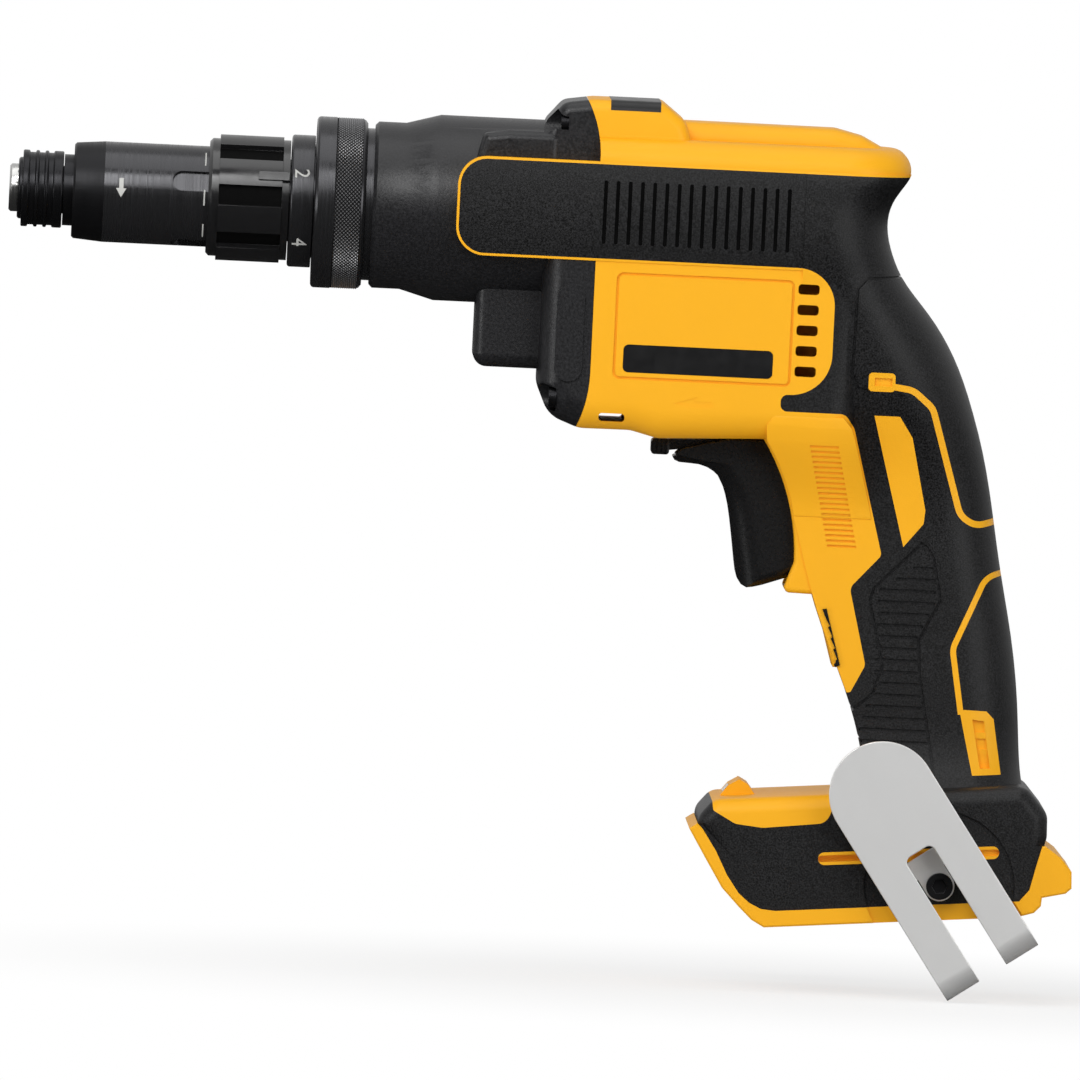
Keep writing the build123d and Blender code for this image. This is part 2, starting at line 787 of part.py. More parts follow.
with BuildPart() as soft_skin:
    add(outer)
    add(core, mode=Mode.SUBTRACT)
    extrude(soft_zone(), amount=FAR, mode=Mode.INTERSECT)
    extrude(hard_lines(), amount=FAR, mode=Mode.SUBTRACT)
    extrude(slot_rim(SLOT_RIM), amount=FAR, mode=Mode.SUBTRACT)
    add(front_room.part, mode=Mode.SUBTRACT)
    add(skirt, mode=Mode.SUBTRACT)

with BuildPart() as soft_cut:
    extrude(soft_grooves(), amount=FAR)
    extrude(grip_ribs(), amount=FAR)
    add(groove_floor, mode=Mode.SUBTRACT)
    extrude(bar_ribs(), amount=FAR)
    add(hook_room.part)

with BuildPart() as hard_cut:
    extrude(hard_grooves(), amount=FAR)
    add(groove_floor, mode=Mode.SUBTRACT)
    extrude(slot_rim(SLOT_WIDTH), amount=FAR)
    extrude(box_face(-40, 120, -20, 60, FOOT_PLANE), amount=FOOT_HALF - SKIN - SLOT_DEPTH, mode=Mode.SUBTRACT)
    add(hook_room.part)
    with BuildSketch(SIDE.offset(BAY_HALF - PLATE_THICK)):
        with Locations((LABEL_X + LABEL_LENGTH / 2, LABEL_LOW + LABEL_HEIGHT / 2)):
            RectangleRounded(LABEL_LENGTH + 2 * SEAT, LABEL_HEIGHT + 2 * SEAT, LABEL_CORNER + SEAT)
    extrude(amount=FAR)
    vent_plane = SIDE.offset(BAY_HALF - WALL - 2)
    for vent in range(VENTS):
        low = MOTOR_Z - VENT_HEIGHT / 2 + (vent - (VENTS - 1) / 2) * VENT_PITCH
        extrude(box_face(VENT_X, VENT_END, low, low + VENT_HEIGHT, vent_plane, 1), amount=FAR)
    outlet_end, outlet_top = OUTLET_X + OUTLET_LENGTH, OUTLET_Z + OUTLET_HEIGHT
    extrude(box_face(OUTLET_X, outlet_end, OUTLET_Z, outlet_top, SIDE, 1), amount=FAR)
    for across, up in CASE_SCREWS:
        with BuildSketch(cross_plane(SEAM - 6, up)):
            with Locations((-across, 0)):
                Circle(SCREW_R + FIT)
        extrude(amount=SCREW_HEAD_X + CASE_SCREW_LENGTH + 1 - SEAM + 6)

with BuildPart() as trigger_room:
    top = BAY_LOW + 0.1
    back = TRIGGER_BACK + TRIGGER_TRAVEL + 1
    opening = [(217, top), (back, top), (back, -102.2), (229.6, -105.8), (217, -112)]
    extrude(side_face(opening, SIDE), amount=TRIGGER_HALF + GAP)
    with BuildSketch(Plane.XY.offset(BAY_LOW - 1)):
        with Locations((LEVER_PIVOT_X, 0)):
            Circle(LEVER_PIN_R + RUN)
    extrude(amount=WALL + 2)

with BuildPart() as inner_frame:
    # Ribs and bosses inside the half, cut to what they hold.
    for x in (STATOR_X + 2, STATOR_X + STATOR_LENGTH - 2 - RIB):
        extrude(box_face(x, x + RIB, BAY_LOW, MOTOR_Z + STATOR_R + 2, SIDE), amount=BAY_HALF)
    bearing_end = REAR_BEARING_X + BEARING_WIDTH
    seat_half = BEARING_R + 4
    extrude(
        box_face(REAR_BEARING_X, bearing_end, MOTOR_Z - seat_half, MOTOR_Z + seat_half, SIDE), amount=BAY_HALF
    )
    extrude(box_face(bearing_end, VENT_END + 3, LEAD_LEVEL + 2 * LEAD_R, BAR_LOW, SIDE), amount=RIB / 2)
    switch_end = SWITCH_X + SWITCH_LENGTH
    for z in (SWITCH_TOP - 6, SWITCH_LOW + 6):
        extrude(box_face(SWITCH_X + 4, switch_end + 10, z - RIB / 2, z + RIB / 2, SIDE), amount=GUARD_HALF)
    for x, z, half in BODY_SCREWS:
        with BuildSketch(SIDE):
            with Locations((x, z)):
                Circle(BOSS_R)
        extrude(amount=half)
    for across, up in CASE_SCREWS:
        with BuildSketch(cross_plane(SEAM - 6, up)):
            with Locations((-across, 0)):
                Circle(BOSS_R)
        extrude(amount=CASE_SCREW_LENGTH)
    extrude(box_face(-16, 80, 0, PACK_TOP + FLOOR, FOOT_PLANE), amount=FOOT_HALF)
    add(core, mode=Mode.INTERSECT)
    extrude(ring_face(STATOR_X, 0, STATOR_R + SEAT, MOTOR_Z), amount=STATOR_LENGTH, mode=Mode.SUBTRACT)
    extrude(
        ring_face(REAR_BEARING_X, 0, BEARING_R + SEAT, MOTOR_Z), amount=BEARING_WIDTH, mode=Mode.SUBTRACT
    )
    extrude(
        box_face(SWITCH_X - 1, switch_end + SEAT, SWITCH_LOW - SEAT, SWITCH_TOP + SEAT, SIDE),
        amount=SWITCH_HALF + SEAT,
        mode=Mode.SUBTRACT,
    )

with BuildPart() as hollow:
    add(cavity)
    extrude(front_zone(SEAM), amount=FAR, mode=Mode.SUBTRACT)
    add(inner_frame.part, mode=Mode.SUBTRACT)

with BuildPart() as pack_room:
    # Space for the battery: wide above the rails, narrow between them, open to the front.
    extrude(box_face(-40, PACK_BACK, SKIRT_LIP, PACK_TOP, FOOT_PLANE), amount=PACK_HALF)
    extrude(box_face(-40, PACK_BACK, -10, SKIRT_LIP, FOOT_PLANE), amount=RAIL_HALF)

with BuildPart() as half_shell:
    add(outer)
    add(skirt)
    add(front_room.part, mode=Mode.SUBTRACT)
    add(soft_skin.part, mode=Mode.SUBTRACT)
    add(hollow.part, mode=Mode.SUBTRACT)
    add(pack_room.part, mode=Mode.SUBTRACT)
    add(trigger_room.part, mode=Mode.SUBTRACT)
    add(hard_cut.part, mode=Mode.SUBTRACT)

with BuildPart() as half_skin:
    add(soft_skin.part)
    add(soft_cut.part, mode=Mode.SUBTRACT)

# Housing halves, their overmould and their screws

with BuildPart() as left_housing:
    add(half_shell.part)
    for x, z, half in BODY_SCREWS:
        with BuildSketch(SIDE):
            with Locations((x, z)):
                Circle(SCREW_R + FIT)
        extrude(amount=SCREW_REACH + 1, mode=Mode.SUBTRACT)
write_piece(left_housing, "left_housing")

with BuildPart() as screw_room:
    # Holes for the body screws in the right half.
    for x, z, half in BODY_SCREWS:
        seat = min(half - SCREW_SINK, SCREW_SEAT)
        with BuildSketch(SIDE):
            with Locations((x, z)):
                Circle(SCREW_R + SEAT)
        extrude(amount=-seat)
        with BuildSketch(SIDE.offset(-seat)):
            with Locations((x, z)):
                Circle(SCREW_HEAD_R + SEAT)
        extrude(amount=-FAR)

with BuildPart() as right_housing:
    mirror(half_shell.part, about=SIDE)
    add(screw_room.part, mode=Mode.SUBTRACT)
write_piece(right_housing, "right_housing")

with BuildPart() as left_overmould:
    add(half_skin.part)
write_piece(left_overmould, "left_overmould")

with BuildPart() as right_overmould:
    mirror(half_skin.part, about=SIDE)
    add(screw_room.part, mode=Mode.SUBTRACT)
write_piece(right_overmould, "right_overmould")

with BuildPart() as housing_screws:
    for x, z, half in BODY_SCREWS:
        seat = min(half - SCREW_SINK, SCREW_SEAT)
        with BuildSketch(SIDE.offset(SCREW_REACH)):
            with Locations((x, z)):
                Circle(SCREW_R)
        extrude(amount=-SCREW_REACH - seat)
        with BuildSketch(SIDE.offset(-seat)):
            with Locations((x, z)):
                Circle(SCREW_HEAD_R)
        extrude(amount=-SCREW_HEAD)
        with BuildSketch(SIDE.offset(-seat - SCREW_HEAD)):
            with Locations((x, z)):
                RegularPolygon(SCREW_R, 6)
        extrude(amount=SCREW_HEAD / 2, mode=Mode.SUBTRACT)
write_piece(housing_screws, "housing_screws")

with BuildPart() as rating_plates:
    with BuildSketch(SIDE.offset(BAY_HALF - PLATE_THICK)):
        with Locations((LABEL_X + LABEL_LENGTH / 2, LABEL_LOW + LABEL_HEIGHT / 2)):
            RectangleRounded(LABEL_LENGTH, LABEL_HEIGHT, LABEL_CORNER)
    extrude(amount=PLATE_THICK)
    mirror(about=SIDE)
write_piece(rating_plates, "rating_plates")

# Gear case

with BuildPart() as arm_room:
    # Room on both sides for the housing's arms.
    extrude(bar_outline(SEAT), amount=FAR, both=True)
    extrude(ring_face(BAR_FRONT - 5, 0, CASE_R - CASE_WALL / 2), amount=FAR * 2, mode=Mode.SUBTRACT)

with BuildPart() as pinion_nose:
    # Boss under the round case, over the front bearing of the motor.
    extrude(box_face(NOSE_X, NOSE_END, NOSE_LOW, NOSE_TOP, SIDE), amount=NOSE_HALF, both=True)
    front_edges = pinion_nose.faces().sort_by(Axis.X)[0].edges().sort_by(Axis.Z)[:-1]
    low_edges = pinion_nose.faces().sort_by(Axis.Z)[0].edges().filter_by(Axis.X)
    fillet(front_edges + low_edges, NOSE_CORNER)

with BuildPart() as gear_case:
    shoulder = [(134, 10), (137.5, SHOULDER_TOP - 1), (145, SHOULDER_TOP), (160, SHOULDER_TOP), (160, 10)]
    add(hump_shape(0))
    add(bay_shape(0))
    add(side_block(shoulder, SHOULDER_HALF, 2, 2.5, 0))
    extrude(box_face(161, 169, -48, -20, SIDE.offset(BAY_HALF - 2), 3.9), amount=2.8)
    extrude(front_zone(SEAM - SEAT), amount=FAR, mode=Mode.INTERSECT)
    mirror(about=SIDE)
    add(pinion_nose.part)
    add(arm_room.part, mode=Mode.SUBTRACT)
    profile = [
        (CASE_X, 0), (CASE_X, CASE_NOSE_R - 1), (CASE_X + 1, CASE_NOSE_R), (CASE_NOSE_END, CASE_NOSE_R),
        (CASE_FLARE_END, CASE_R), (SEAM - SEAT, CASE_R), (SEAM - SEAT, 0),
    ]
    revolve(side_face(profile, SIDE), axis=Axis.X)
    extrude(ring_face(CASE_X, 0, TUBE_SPIGOT_R + FIT), amount=TUBE_END - CASE_X, mode=Mode.SUBTRACT)
    extrude(ring_face(TUBE_END, 0, CAM_ROOM_R), amount=GEAR_X - TUBE_END, mode=Mode.SUBTRACT)
    gear_room_x = GEAR_X - GEAR_ROOM
    extrude(ring_face(gear_room_x, 0, CASE_BORE_R), amount=PLATE_X - gear_room_x, mode=Mode.SUBTRACT)
    extrude(ring_face(BEARING_X, 0, BEARING_R + FIT, MOTOR_Z), amount=PLATE_X - BEARING_X, mode=Mode.SUBTRACT)
    with BuildSketch(cross_plane(PLATE_X, (PLATE_TOP + PLATE_LOW) / 2)):
        RectangleRounded(2 * (PLATE_HALF + SEAT), PLATE_TOP - PLATE_LOW + 2 * SEAT, PLATE_CORNER)
    extrude(amount=SEAM - PLATE_X, mode=Mode.SUBTRACT)
    for across, up in CASE_SCREWS:
        with BuildSketch(cross_plane(SCREW_HEAD_X, up)):
            with Locations((-across, 0), (across, 0)):
                Circle(SCREW_R + SEAT)
        extrude(amount=SEAM - SCREW_HEAD_X, mode=Mode.SUBTRACT)
        with BuildSketch(cross_plane(SCREW_HEAD_X, up)):
            with Locations((-across, 0), (across, 0)):
                Circle(SCREW_HEAD_R + 1)
        extrude(amount=BAR_FRONT - SCREW_HEAD_X, mode=Mode.SUBTRACT)
write_piece(gear_case, "gear_case")

with BuildPart() as gear_case_screws:
    for across, up in CASE_SCREWS:
        with BuildSketch(cross_plane(SCREW_HEAD_X, up)):
            with Locations((-across, 0), (across, 0)):
                Circle(SCREW_R)
        extrude(amount=CASE_SCREW_LENGTH)
        with BuildSketch(cross_plane(SCREW_HEAD_X, up)):
            with Locations((-across, 0), (across, 0)):
                Circle(SCREW_HEAD_R)
                RegularPolygon(SCREW_R, 6, mode=Mode.SUBTRACT)
        extrude(amount=-SCREW_HEAD)
write_piece(gear_case_screws, "gear_case_screws")

with BuildPart() as motor_plate:
    with BuildSketch(cross_plane(PLATE_X, (PLATE_TOP + PLATE_LOW) / 2)):
        RectangleRounded(2 * PLATE_HALF, PLATE_TOP - PLATE_LOW, PLATE_CORNER)
    extrude(amount=BEARING_WIDTH)
    extrude(ring_face(PLATE_X, 0, REAR_BUSH_R + FIT), amount=BEARING_WIDTH, mode=Mode.SUBTRACT)
    extrude(ring_face(PLATE_X, 0, BEARING_R + FIT, MOTOR_Z), amount=BEARING_WIDTH, mode=Mode.SUBTRACT)
write_piece(motor_plate, "motor_plate")

with BuildPart() as rear_bush:
    extrude(ring_face(PLATE_X, JOURNAL_R + RUN, REAR_BUSH_R), amount=BEARING_WIDTH)
write_piece(rear_bush, "rear_bush")

bearing_places = (("front_bearing", BEARING_X), ("middle_bearing", PLATE_X), ("rear_bearing", REAR_BEARING_X))
for node, x in bearing_places:
    with BuildPart() as bearing:
        extrude(ring_face(x, SHAFT_R + RUN, BEARING_R, MOTOR_Z), amount=BEARING_WIDTH)
    write_piece(bearing, node)

# Bit chuck

with BuildPart() as chuck_core:
    shoulder = CHUCK_SLEEVE_END + 0.2
    profile = [
        (0, 0), (0, CHUCK_TIP_R - 0.6), (0.6, CHUCK_TIP_R), (shoulder, CHUCK_TIP_R),
        (shoulder, CHUCK_SHOULDER_R), (CHUCK_END, CHUCK_SHOULDER_R), (CHUCK_END, 0),
    ]
    revolve(side_face(profile, SIDE), axis=Axis.X)
    with BuildSketch(cross_plane(0)):
        RegularPolygon(BIT_HEX / 2 + SEAT, 6, major_radius=False)
    extrude(amount=BIT_DEPTH, mode=Mode.SUBTRACT)
    extrude(ring_face(SPINDLE_X, 0, SPINDLE_R + FIT), amount=CHUCK_END - SPINDLE_X, mode=Mode.SUBTRACT)
    for ball in range(BALLS):
        with BuildSketch(radial_plane(90 + ball * 360 / BALLS, 0)):
            with Locations((BALL_X, 0)):
                Circle(BALL_R + FIT)
        extrude(amount=CHUCK_TIP_R + 1, mode=Mode.SUBTRACT)
write_piece(chuck_core, "chuck_core")

with BuildPart() as bit_balls:
    for ball in range(BALLS):
        with Locations(radial_plane(90 + ball * 360 / BALLS, BALL_CENTRE_R)):
            with Locations((BALL_X, 0, 0)):
                Sphere(BALL_R)
write_piece(bit_balls, "bit_balls")

with BuildPart() as chuck_sleeve:
    groove_r = CHUCK_SLEEVE_R - CHUCK_RIB_DEPTH
    ribs = ((CHUCK_SLEEVE_X, 5.7), (7.4, 8.5), (10.1, 11.2), (12.7, CHUCK_SLEEVE_END))
    profile = [
        (CHUCK_LIP_X, 0), (CHUCK_LIP_X, CHUCK_LIP_R - 0.5), (CHUCK_LIP_X + 0.5, CHUCK_LIP_R),
        (CHUCK_SLEEVE_X, CHUCK_LIP_R), (CHUCK_SLEEVE_X, groove_r), (CHUCK_SLEEVE_END, groove_r),
        (CHUCK_SLEEVE_END, 0),
    ]
    revolve(side_face(profile, SIDE), axis=Axis.X)
    for start, end in ribs:
        extrude(ring_face(start, 0, CHUCK_SLEEVE_R), amount=end - start)
    edges_of_ribs = chuck_sleeve.edges().filter_by(GeomType.CIRCLE)
    chamfer(edges_of_ribs.filter_by(lambda edge: abs(edge.radius - CHUCK_SLEEVE_R) < 0.01), 0.25)
    extrude(
        ring_face(CHUCK_LIP_X, 0, CHUCK_TIP_R + RUN), amount=CHUCK_SLEEVE_END - CHUCK_LIP_X,
        mode=Mode.SUBTRACT,
    )
    extrude(
        ring_face(CHUCK_LIP_X + CHUCK_WALL, 0, CHUCK_POCKET_R),
        amount=CHUCK_SLEEVE_END - CHUCK_LIP_X - 2 * CHUCK_WALL,
        mode=Mode.SUBTRACT,
    )
write_piece(chuck_sleeve, "chuck_sleeve")

with BuildPart() as chuck_clip:
    clip_x = CHUCK_LIP_X + CHUCK_WALL + 0.2
    extrude(ring_face(clip_x, CHUCK_TIP_R + FIT, CHUCK_CLIP_R), amount=CLIP_THICK)
write_piece(chuck_clip, "chuck_clip")

with BuildPart() as chuck_spring:
    start = clip_x + CLIP_THICK + SEAT
    end = CHUCK_SLEEVE_END - CHUCK_WALL - SEAT
    extrude(ring_face(start, CHUCK_TIP_R + GAP, CHUCK_CLIP_R), amount=end - start)
write_piece(chuck_spring, "chuck_spring")

# Torque nose

with BuildPart() as torque_sleeve:
    front_bore = CHUCK_SHOULDER_R + 0.6
    profile = [
        (TORQUE_X, front_bore), (TORQUE_X, TORQUE_TIP_R - 0.6), (TORQUE_X + 0.6, TORQUE_TIP_R),
        (TORQUE_TAPER_END, TORQUE_R), (TORQUE_END, TORQUE_R), (TORQUE_END, TUBE_R + RUN),
        (TORQUE_STEP_X, TUBE_R + RUN), (TORQUE_STEP_X, front_bore),
    ]
    revolve(side_face(profile, SIDE), axis=Axis.X)
    keyway_end = COLLAR_X + COLLAR_WALL + KEYWAY_WIDTH / 2 + 1
    for keyway in range(KEYWAYS):
        angle = 180 - KEYWAY_ANGLE + keyway * 360 / KEYWAYS
        with BuildSketch(radial_plane(angle, TORQUE_R - KEYWAY_DEPTH)):
            with Locations(((KEYWAY_X + keyway_end) / 2, 0)):
                RectangleRounded(keyway_end - KEYWAY_X, KEYWAY_WIDTH, KEYWAY_WIDTH / 2.1)
        extrude(amount=FAR / 10, mode=Mode.SUBTRACT)
write_piece(torque_sleeve, "torque_sleeve")

with BuildPart() as lock_collar:
    rib_x, rib_end = COLLAR_X + 3, COLLAR_END - 2.1
    back_lip = COLLAR_LIP_R + 0.3
    profile = [
        (COLLAR_X, 0), (COLLAR_X, COLLAR_LIP_R - 0.9), (COLLAR_X + 0.9, COLLAR_LIP_R), (rib_x, COLLAR_LIP_R),
        (rib_x, COLLAR_VALLEY_R), (rib_end, COLLAR_VALLEY_R), (rib_end, back_lip), (COLLAR_END, back_lip),
        (COLLAR_END, 0),
    ]
    revolve(side_face(profile, SIDE), axis=Axis.X)
    for rib in range(COLLAR_RIBS):
        angle = 180 - COLLAR_TURN + rib * 360 / COLLAR_RIBS
        rib_face = sector_face(rib_x, COLLAR_POCKET_R, COLLAR_R, angle, COLLAR_RIB_ANGLE)
        extrude(rib_face, amount=rib_end - rib_x)
    with BuildSketch(radial_plane(180 - POINTER_TURN, COLLAR_LIP_R - 0.3)):
        with Locations((COLLAR_END - POINTER_LENGTH / 2 - 0.1, 0)):
            Rectangle(POINTER_LENGTH, POINTER_WIDTH)
    extrude(amount=COLLAR_R - COLLAR_LIP_R + 0.9)
    extrude(ring_face(COLLAR_X, 0, TORQUE_R + RUN), amount=COLLAR_END - COLLAR_X, mode=Mode.SUBTRACT)
    pocket_end = COLLAR_END - COLLAR_BACK_WALL
    extrude(
        ring_face(COLLAR_X + COLLAR_WALL, 0, COLLAR_POCKET_R),
        amount=pocket_end - COLLAR_X - COLLAR_WALL,
        mode=Mode.SUBTRACT,
    )
    for key in range(KEYWAYS):
        angle = 180 - KEYWAY_ANGLE + key * 360 / KEYWAYS
        with BuildSketch(radial_plane(angle, TORQUE_R - KEYWAY_DEPTH + GAP)):
            with Locations((COLLAR_X + COLLAR_WALL / 2, 0)):
                Rectangle(COLLAR_WALL - 0.2, KEYWAY_WIDTH - 2 * GAP)
        extrude(amount=KEYWAY_DEPTH)
write_piece(lock_collar, "lock_collar")

with BuildPart() as collar_clip:
    extrude(ring_face(COLLAR_CLIP_X, TORQUE_R + FIT, COLLAR_POCKET_R - GAP), amount=CLIP_THICK)
write_piece(collar_clip, "collar_clip")

with BuildPart() as collar_spring:
    start = COLLAR_CLIP_X + CLIP_THICK + SEAT
    extrude(ring_face(start, TORQUE_R + GAP, COLLAR_POCKET_R - GAP), amount=pocket_end - SEAT - start)
write_piece(collar_spring, "collar_spring")

with BuildPart() as number_ring:
    profile = [
        (NUMBER_X, TUBE_SEAT_R + FIT), (NUMBER_X, NUMBER_R - 0.5), (NUMBER_X + 0.5, NUMBER_R),
        (NUMBER_END, NUMBER_R), (NUMBER_END, TUBE_SEAT_R + FIT),
    ]
    revolve(side_face(profile, SIDE), axis=Axis.X)
write_piece(number_ring, "number_ring")

with BuildPart() as knurled_ring:
    profile = [
        (KNURL_X, TUBE_SEAT_R + RUN), (KNURL_X, KNURL_R - 0.8), (KNURL_X + 0.8, KNURL_R),
        (KNURL_END - 1.8, KNURL_R), (KNURL_END, KNURL_R - 1.6), (KNURL_END, TUBE_SEAT_R + RUN),
    ]
    revolve(side_face(profile, SIDE), axis=Axis.X)
write_piece(knurled_ring, "knurled_ring")

with BuildPart() as nose_tube:
    profile = [
        (TUBE_X, TUBE_BORE_R), (TUBE_X, TUBE_R), (NUMBER_X, TUBE_R), (NUMBER_X, TUBE_SEAT_R),
        (KNURL_END + SEAT, TUBE_SEAT_R), (KNURL_END + SEAT, TUBE_FLANGE_R), (CASE_X, TUBE_FLANGE_R),
        (CASE_X, TUBE_SPIGOT_R), (TUBE_END, TUBE_SPIGOT_R), (TUBE_END, TUBE_BORE_R),
    ]
    revolve(side_face(profile, SIDE), axis=Axis.X)
write_piece(nose_tube, "nose_tube")

# Spindle, clutch and gears

with BuildPart() as spindle:
    extrude(ring_face(SPINDLE_X, 0, SPINDLE_R), amount=JOURNAL_X - SPINDLE_X)
    extrude(ring_face(JOURNAL_X, 0, JOURNAL_R), amount=SPINDLE_END - JOURNAL_X)
write_piece(spindle, "spindle")

with BuildPart() as front_bush:
    extrude(ring_face(BUSH_X, SPINDLE_R + RUN, TUBE_BORE_R - FIT), amount=BUSH_END - BUSH_X)
write_piece(front_bush, "front_bush")

with BuildPart() as return_spring:
    extrude(
        ring_face(CHUCK_END + SEAT, SPRING_IN_R, SPRING_OUT_R), amount=BUSH_X - CHUCK_END - 2 * SEAT
    )
write_piece(return_spring, "return_spring")

with BuildPart() as clutch_spring:
    extrude(
        ring_face(BUSH_END + SEAT, SPRING_IN_R, SPRING_OUT_R), amount=WASHER_X - BUSH_END - 2 * SEAT
    )
write_piece(clutch_spring, "clutch_spring")

with BuildPart() as thrust_washer:
    extrude(ring_face(WASHER_X, SPINDLE_R + RUN, WASHER_R), amount=WASHER_THICK)
write_piece(thrust_washer, "thrust_washer")

with BuildPart() as clutch_cam:
    extrude(ring_face(CAM_X, SPINDLE_R + FIT, CAM_R), amount=CAM_PLATE)
    for dog in range(DOGS):
        extrude(
            sector_face(CAM_X + CAM_PLATE, DOG_INNER_R, CAM_R, dog * 360 / DOGS, DOG_ANGLE), amount=CAM_DOG
        )
write_piece(clutch_cam, "clutch_cam")

with BuildPart() as output_gear:
    dog_x = CAM_X + CAM_PLATE + CAM_DOG + DOG_GAP
    hub_x = GEAR_X - GEAR_HUB
    extrude(gear_face(GEAR_X, 0, GEAR_TEETH, -90), amount=GEAR_WIDTH)
    extrude(ring_face(hub_x, 0, CAM_R), amount=GEAR_HUB)
    for dog in range(DOGS):
        angle = (dog + 0.5) * 360 / DOGS
        extrude(sector_face(dog_x, DOG_INNER_R, CAM_R - 0.4, angle, DOG_ANGLE), amount=hub_x - dog_x)
    extrude(ring_face(hub_x, 0, JOURNAL_R + RUN), amount=GEAR_HUB + GEAR_WIDTH, mode=Mode.SUBTRACT)
write_piece(output_gear, "output_gear")

with BuildPart() as gear_spacer:
    start = GEAR_X + GEAR_WIDTH + SEAT
    extrude(ring_face(start, JOURNAL_R + RUN, 2 * JOURNAL_R), amount=PLATE_X - SEAT - start)
write_piece(gear_spacer, "gear_spacer")

# Motor

with BuildPart() as motor_pinion:
    extrude(gear_face(GEAR_X - 0.5, MOTOR_Z, PINION_TEETH, 90 + 180 / PINION_TEETH), amount=GEAR_WIDTH + 1)
    extrude(ring_face(GEAR_X - 0.5, 0, SHAFT_R + FIT, MOTOR_Z), amount=GEAR_WIDTH + 1, mode=Mode.SUBTRACT)
write_piece(motor_pinion, "motor_pinion")

with BuildPart() as motor_shaft:
    shaft_x = BEARING_X + SHAFT_INSET
    shaft_end = REAR_BEARING_X + BEARING_WIDTH - SHAFT_INSET
    extrude(ring_face(shaft_x, 0, SHAFT_R, MOTOR_Z), amount=shaft_end - shaft_x)
write_piece(motor_shaft, "motor_shaft")

with BuildPart() as fan:
    hub_r, disc, blade_lap = 8.0, 1.2, 1.0
    extrude(ring_face(FAN_X, SHAFT_R + FIT, hub_r, MOTOR_Z), amount=FAN_LENGTH)
    extrude(ring_face(FAN_X, hub_r - 1, FAN_R, MOTOR_Z), amount=disc)
    with BuildSketch(cross_plane(FAN_X, MOTOR_Z)):
        with PolarLocations((FAN_R + hub_r - blade_lap) / 2, FAN_BLADES):
            Rectangle(FAN_R - hub_r + blade_lap, 1.4)
    extrude(amount=FAN_LENGTH)
write_piece(fan, "fan")

with BuildPart() as stator_core:
    yoke_in = STATOR_R - STATOR_YOKE
    shoe_height, shoe_width = 2.2, 10.0
    with BuildSketch(cross_plane(STATOR_X, MOTOR_Z)):
        Circle(STATOR_R)
        Circle(yoke_in, mode=Mode.SUBTRACT)
        with PolarLocations((yoke_in + STATOR_BORE_R) / 2, STATOR_TEETH):
            Rectangle(yoke_in - STATOR_BORE_R + 1, TOOTH_WIDTH)
        with PolarLocations(STATOR_BORE_R + shoe_height / 2, STATOR_TEETH):
            Rectangle(shoe_height, shoe_width)
        Circle(STATOR_BORE_R, mode=Mode.SUBTRACT)
    extrude(amount=STATOR_LENGTH)
write_piece(stator_core, "stator_core")

with BuildPart() as stator_coils:
    inner, outer_r = STATOR_BORE_R + shoe_height + 0.2, STATOR_R - STATOR_YOKE - 1.3
    gap = 0.15
    for tooth in range(STATOR_TEETH):
        with BuildSketch(cross_plane(STATOR_X - COIL_END, MOTOR_Z, tooth * 360 / STATOR_TEETH)):
            with Locations(((inner + outer_r) / 2, 0)):
                Rectangle(outer_r - inner, TOOTH_WIDTH + 2 * COIL_THICK)
        extrude(amount=STATOR_LENGTH + 2 * COIL_END)
    for tooth in range(STATOR_TEETH):
        with BuildSketch(cross_plane(STATOR_X - gap, MOTOR_Z, tooth * 360 / STATOR_TEETH)):
            with Locations(((inner + outer_r) / 2, 0)):
                Rectangle(outer_r - inner + 1, TOOTH_WIDTH + 2 * gap)
        extrude(amount=STATOR_LENGTH + 2 * gap, mode=Mode.SUBTRACT)
write_piece(stator_coils, "stator_coils")

with BuildPart() as rotor_core:
    extrude(ring_face(STATOR_X, SHAFT_R + FIT, ROTOR_R, MOTOR_Z), amount=STATOR_LENGTH)
write_piece(rotor_core, "rotor_core")

with BuildPart() as rotor_magnets:
    for magnet in range(MAGNETS):
        angle = magnet * 360 / MAGNETS
        extrude(
            sector_face(STATOR_X, ROTOR_R + FIT, ROTOR_R + MAGNET_THICK, angle, 300 / MAGNETS, MOTOR_Z),
            amount=STATOR_LENGTH,
        )
write_piece(rotor_magnets, "rotor_magnets")

with BuildPart() as sensor_board:
    extrude(ring_face(SENSOR_X, 2 * SHAFT_R, STATOR_R - 2, MOTOR_Z), amount=BOARD_THICK)
write_piece(sensor_board, "sensor_board")

# Trigger, lever and switch

with BuildPart() as trigger:
    with BuildSketch(SIDE) as side:
        with BuildLine():
            Polyline((196.6, -69), (198, -70.4), (205, -70.6))
            ThreePointArc((205, -70.6), (213, -80.5), (217, -104.6))
            Polyline(
                (217, -104.6), (219.5, -106.2), (224, -105.2), (231, -102.9), (TRIGGER_BACK, -101.3),
                (TRIGGER_BACK, -66), (228, -64.9), (214, -64.7), (196.6, -69),
            )
        make_face()
    extrude(amount=TRIGGER_HALF, both=True)
    fillet(trigger.edges().filter_by(GeomType.CIRCLE), 3)
    with BuildSketch(cross_plane(TRIGGER_BACK, PLUNGER_Z)):
        Circle(PLUNGER_R)
    extrude(amount=PLUNGER_LENGTH)
write_piece(trigger, "trigger")

with BuildPart() as trigger_spring:
    extrude(
        ring_face(TRIGGER_BACK + SEAT, PLUNGER_R + GAP, PLUNGER_R + 2.4, PLUNGER_Z),
        amount=SWITCH_X - TRIGGER_BACK - 2 * SEAT,
    )
write_piece(trigger_spring, "trigger_spring")

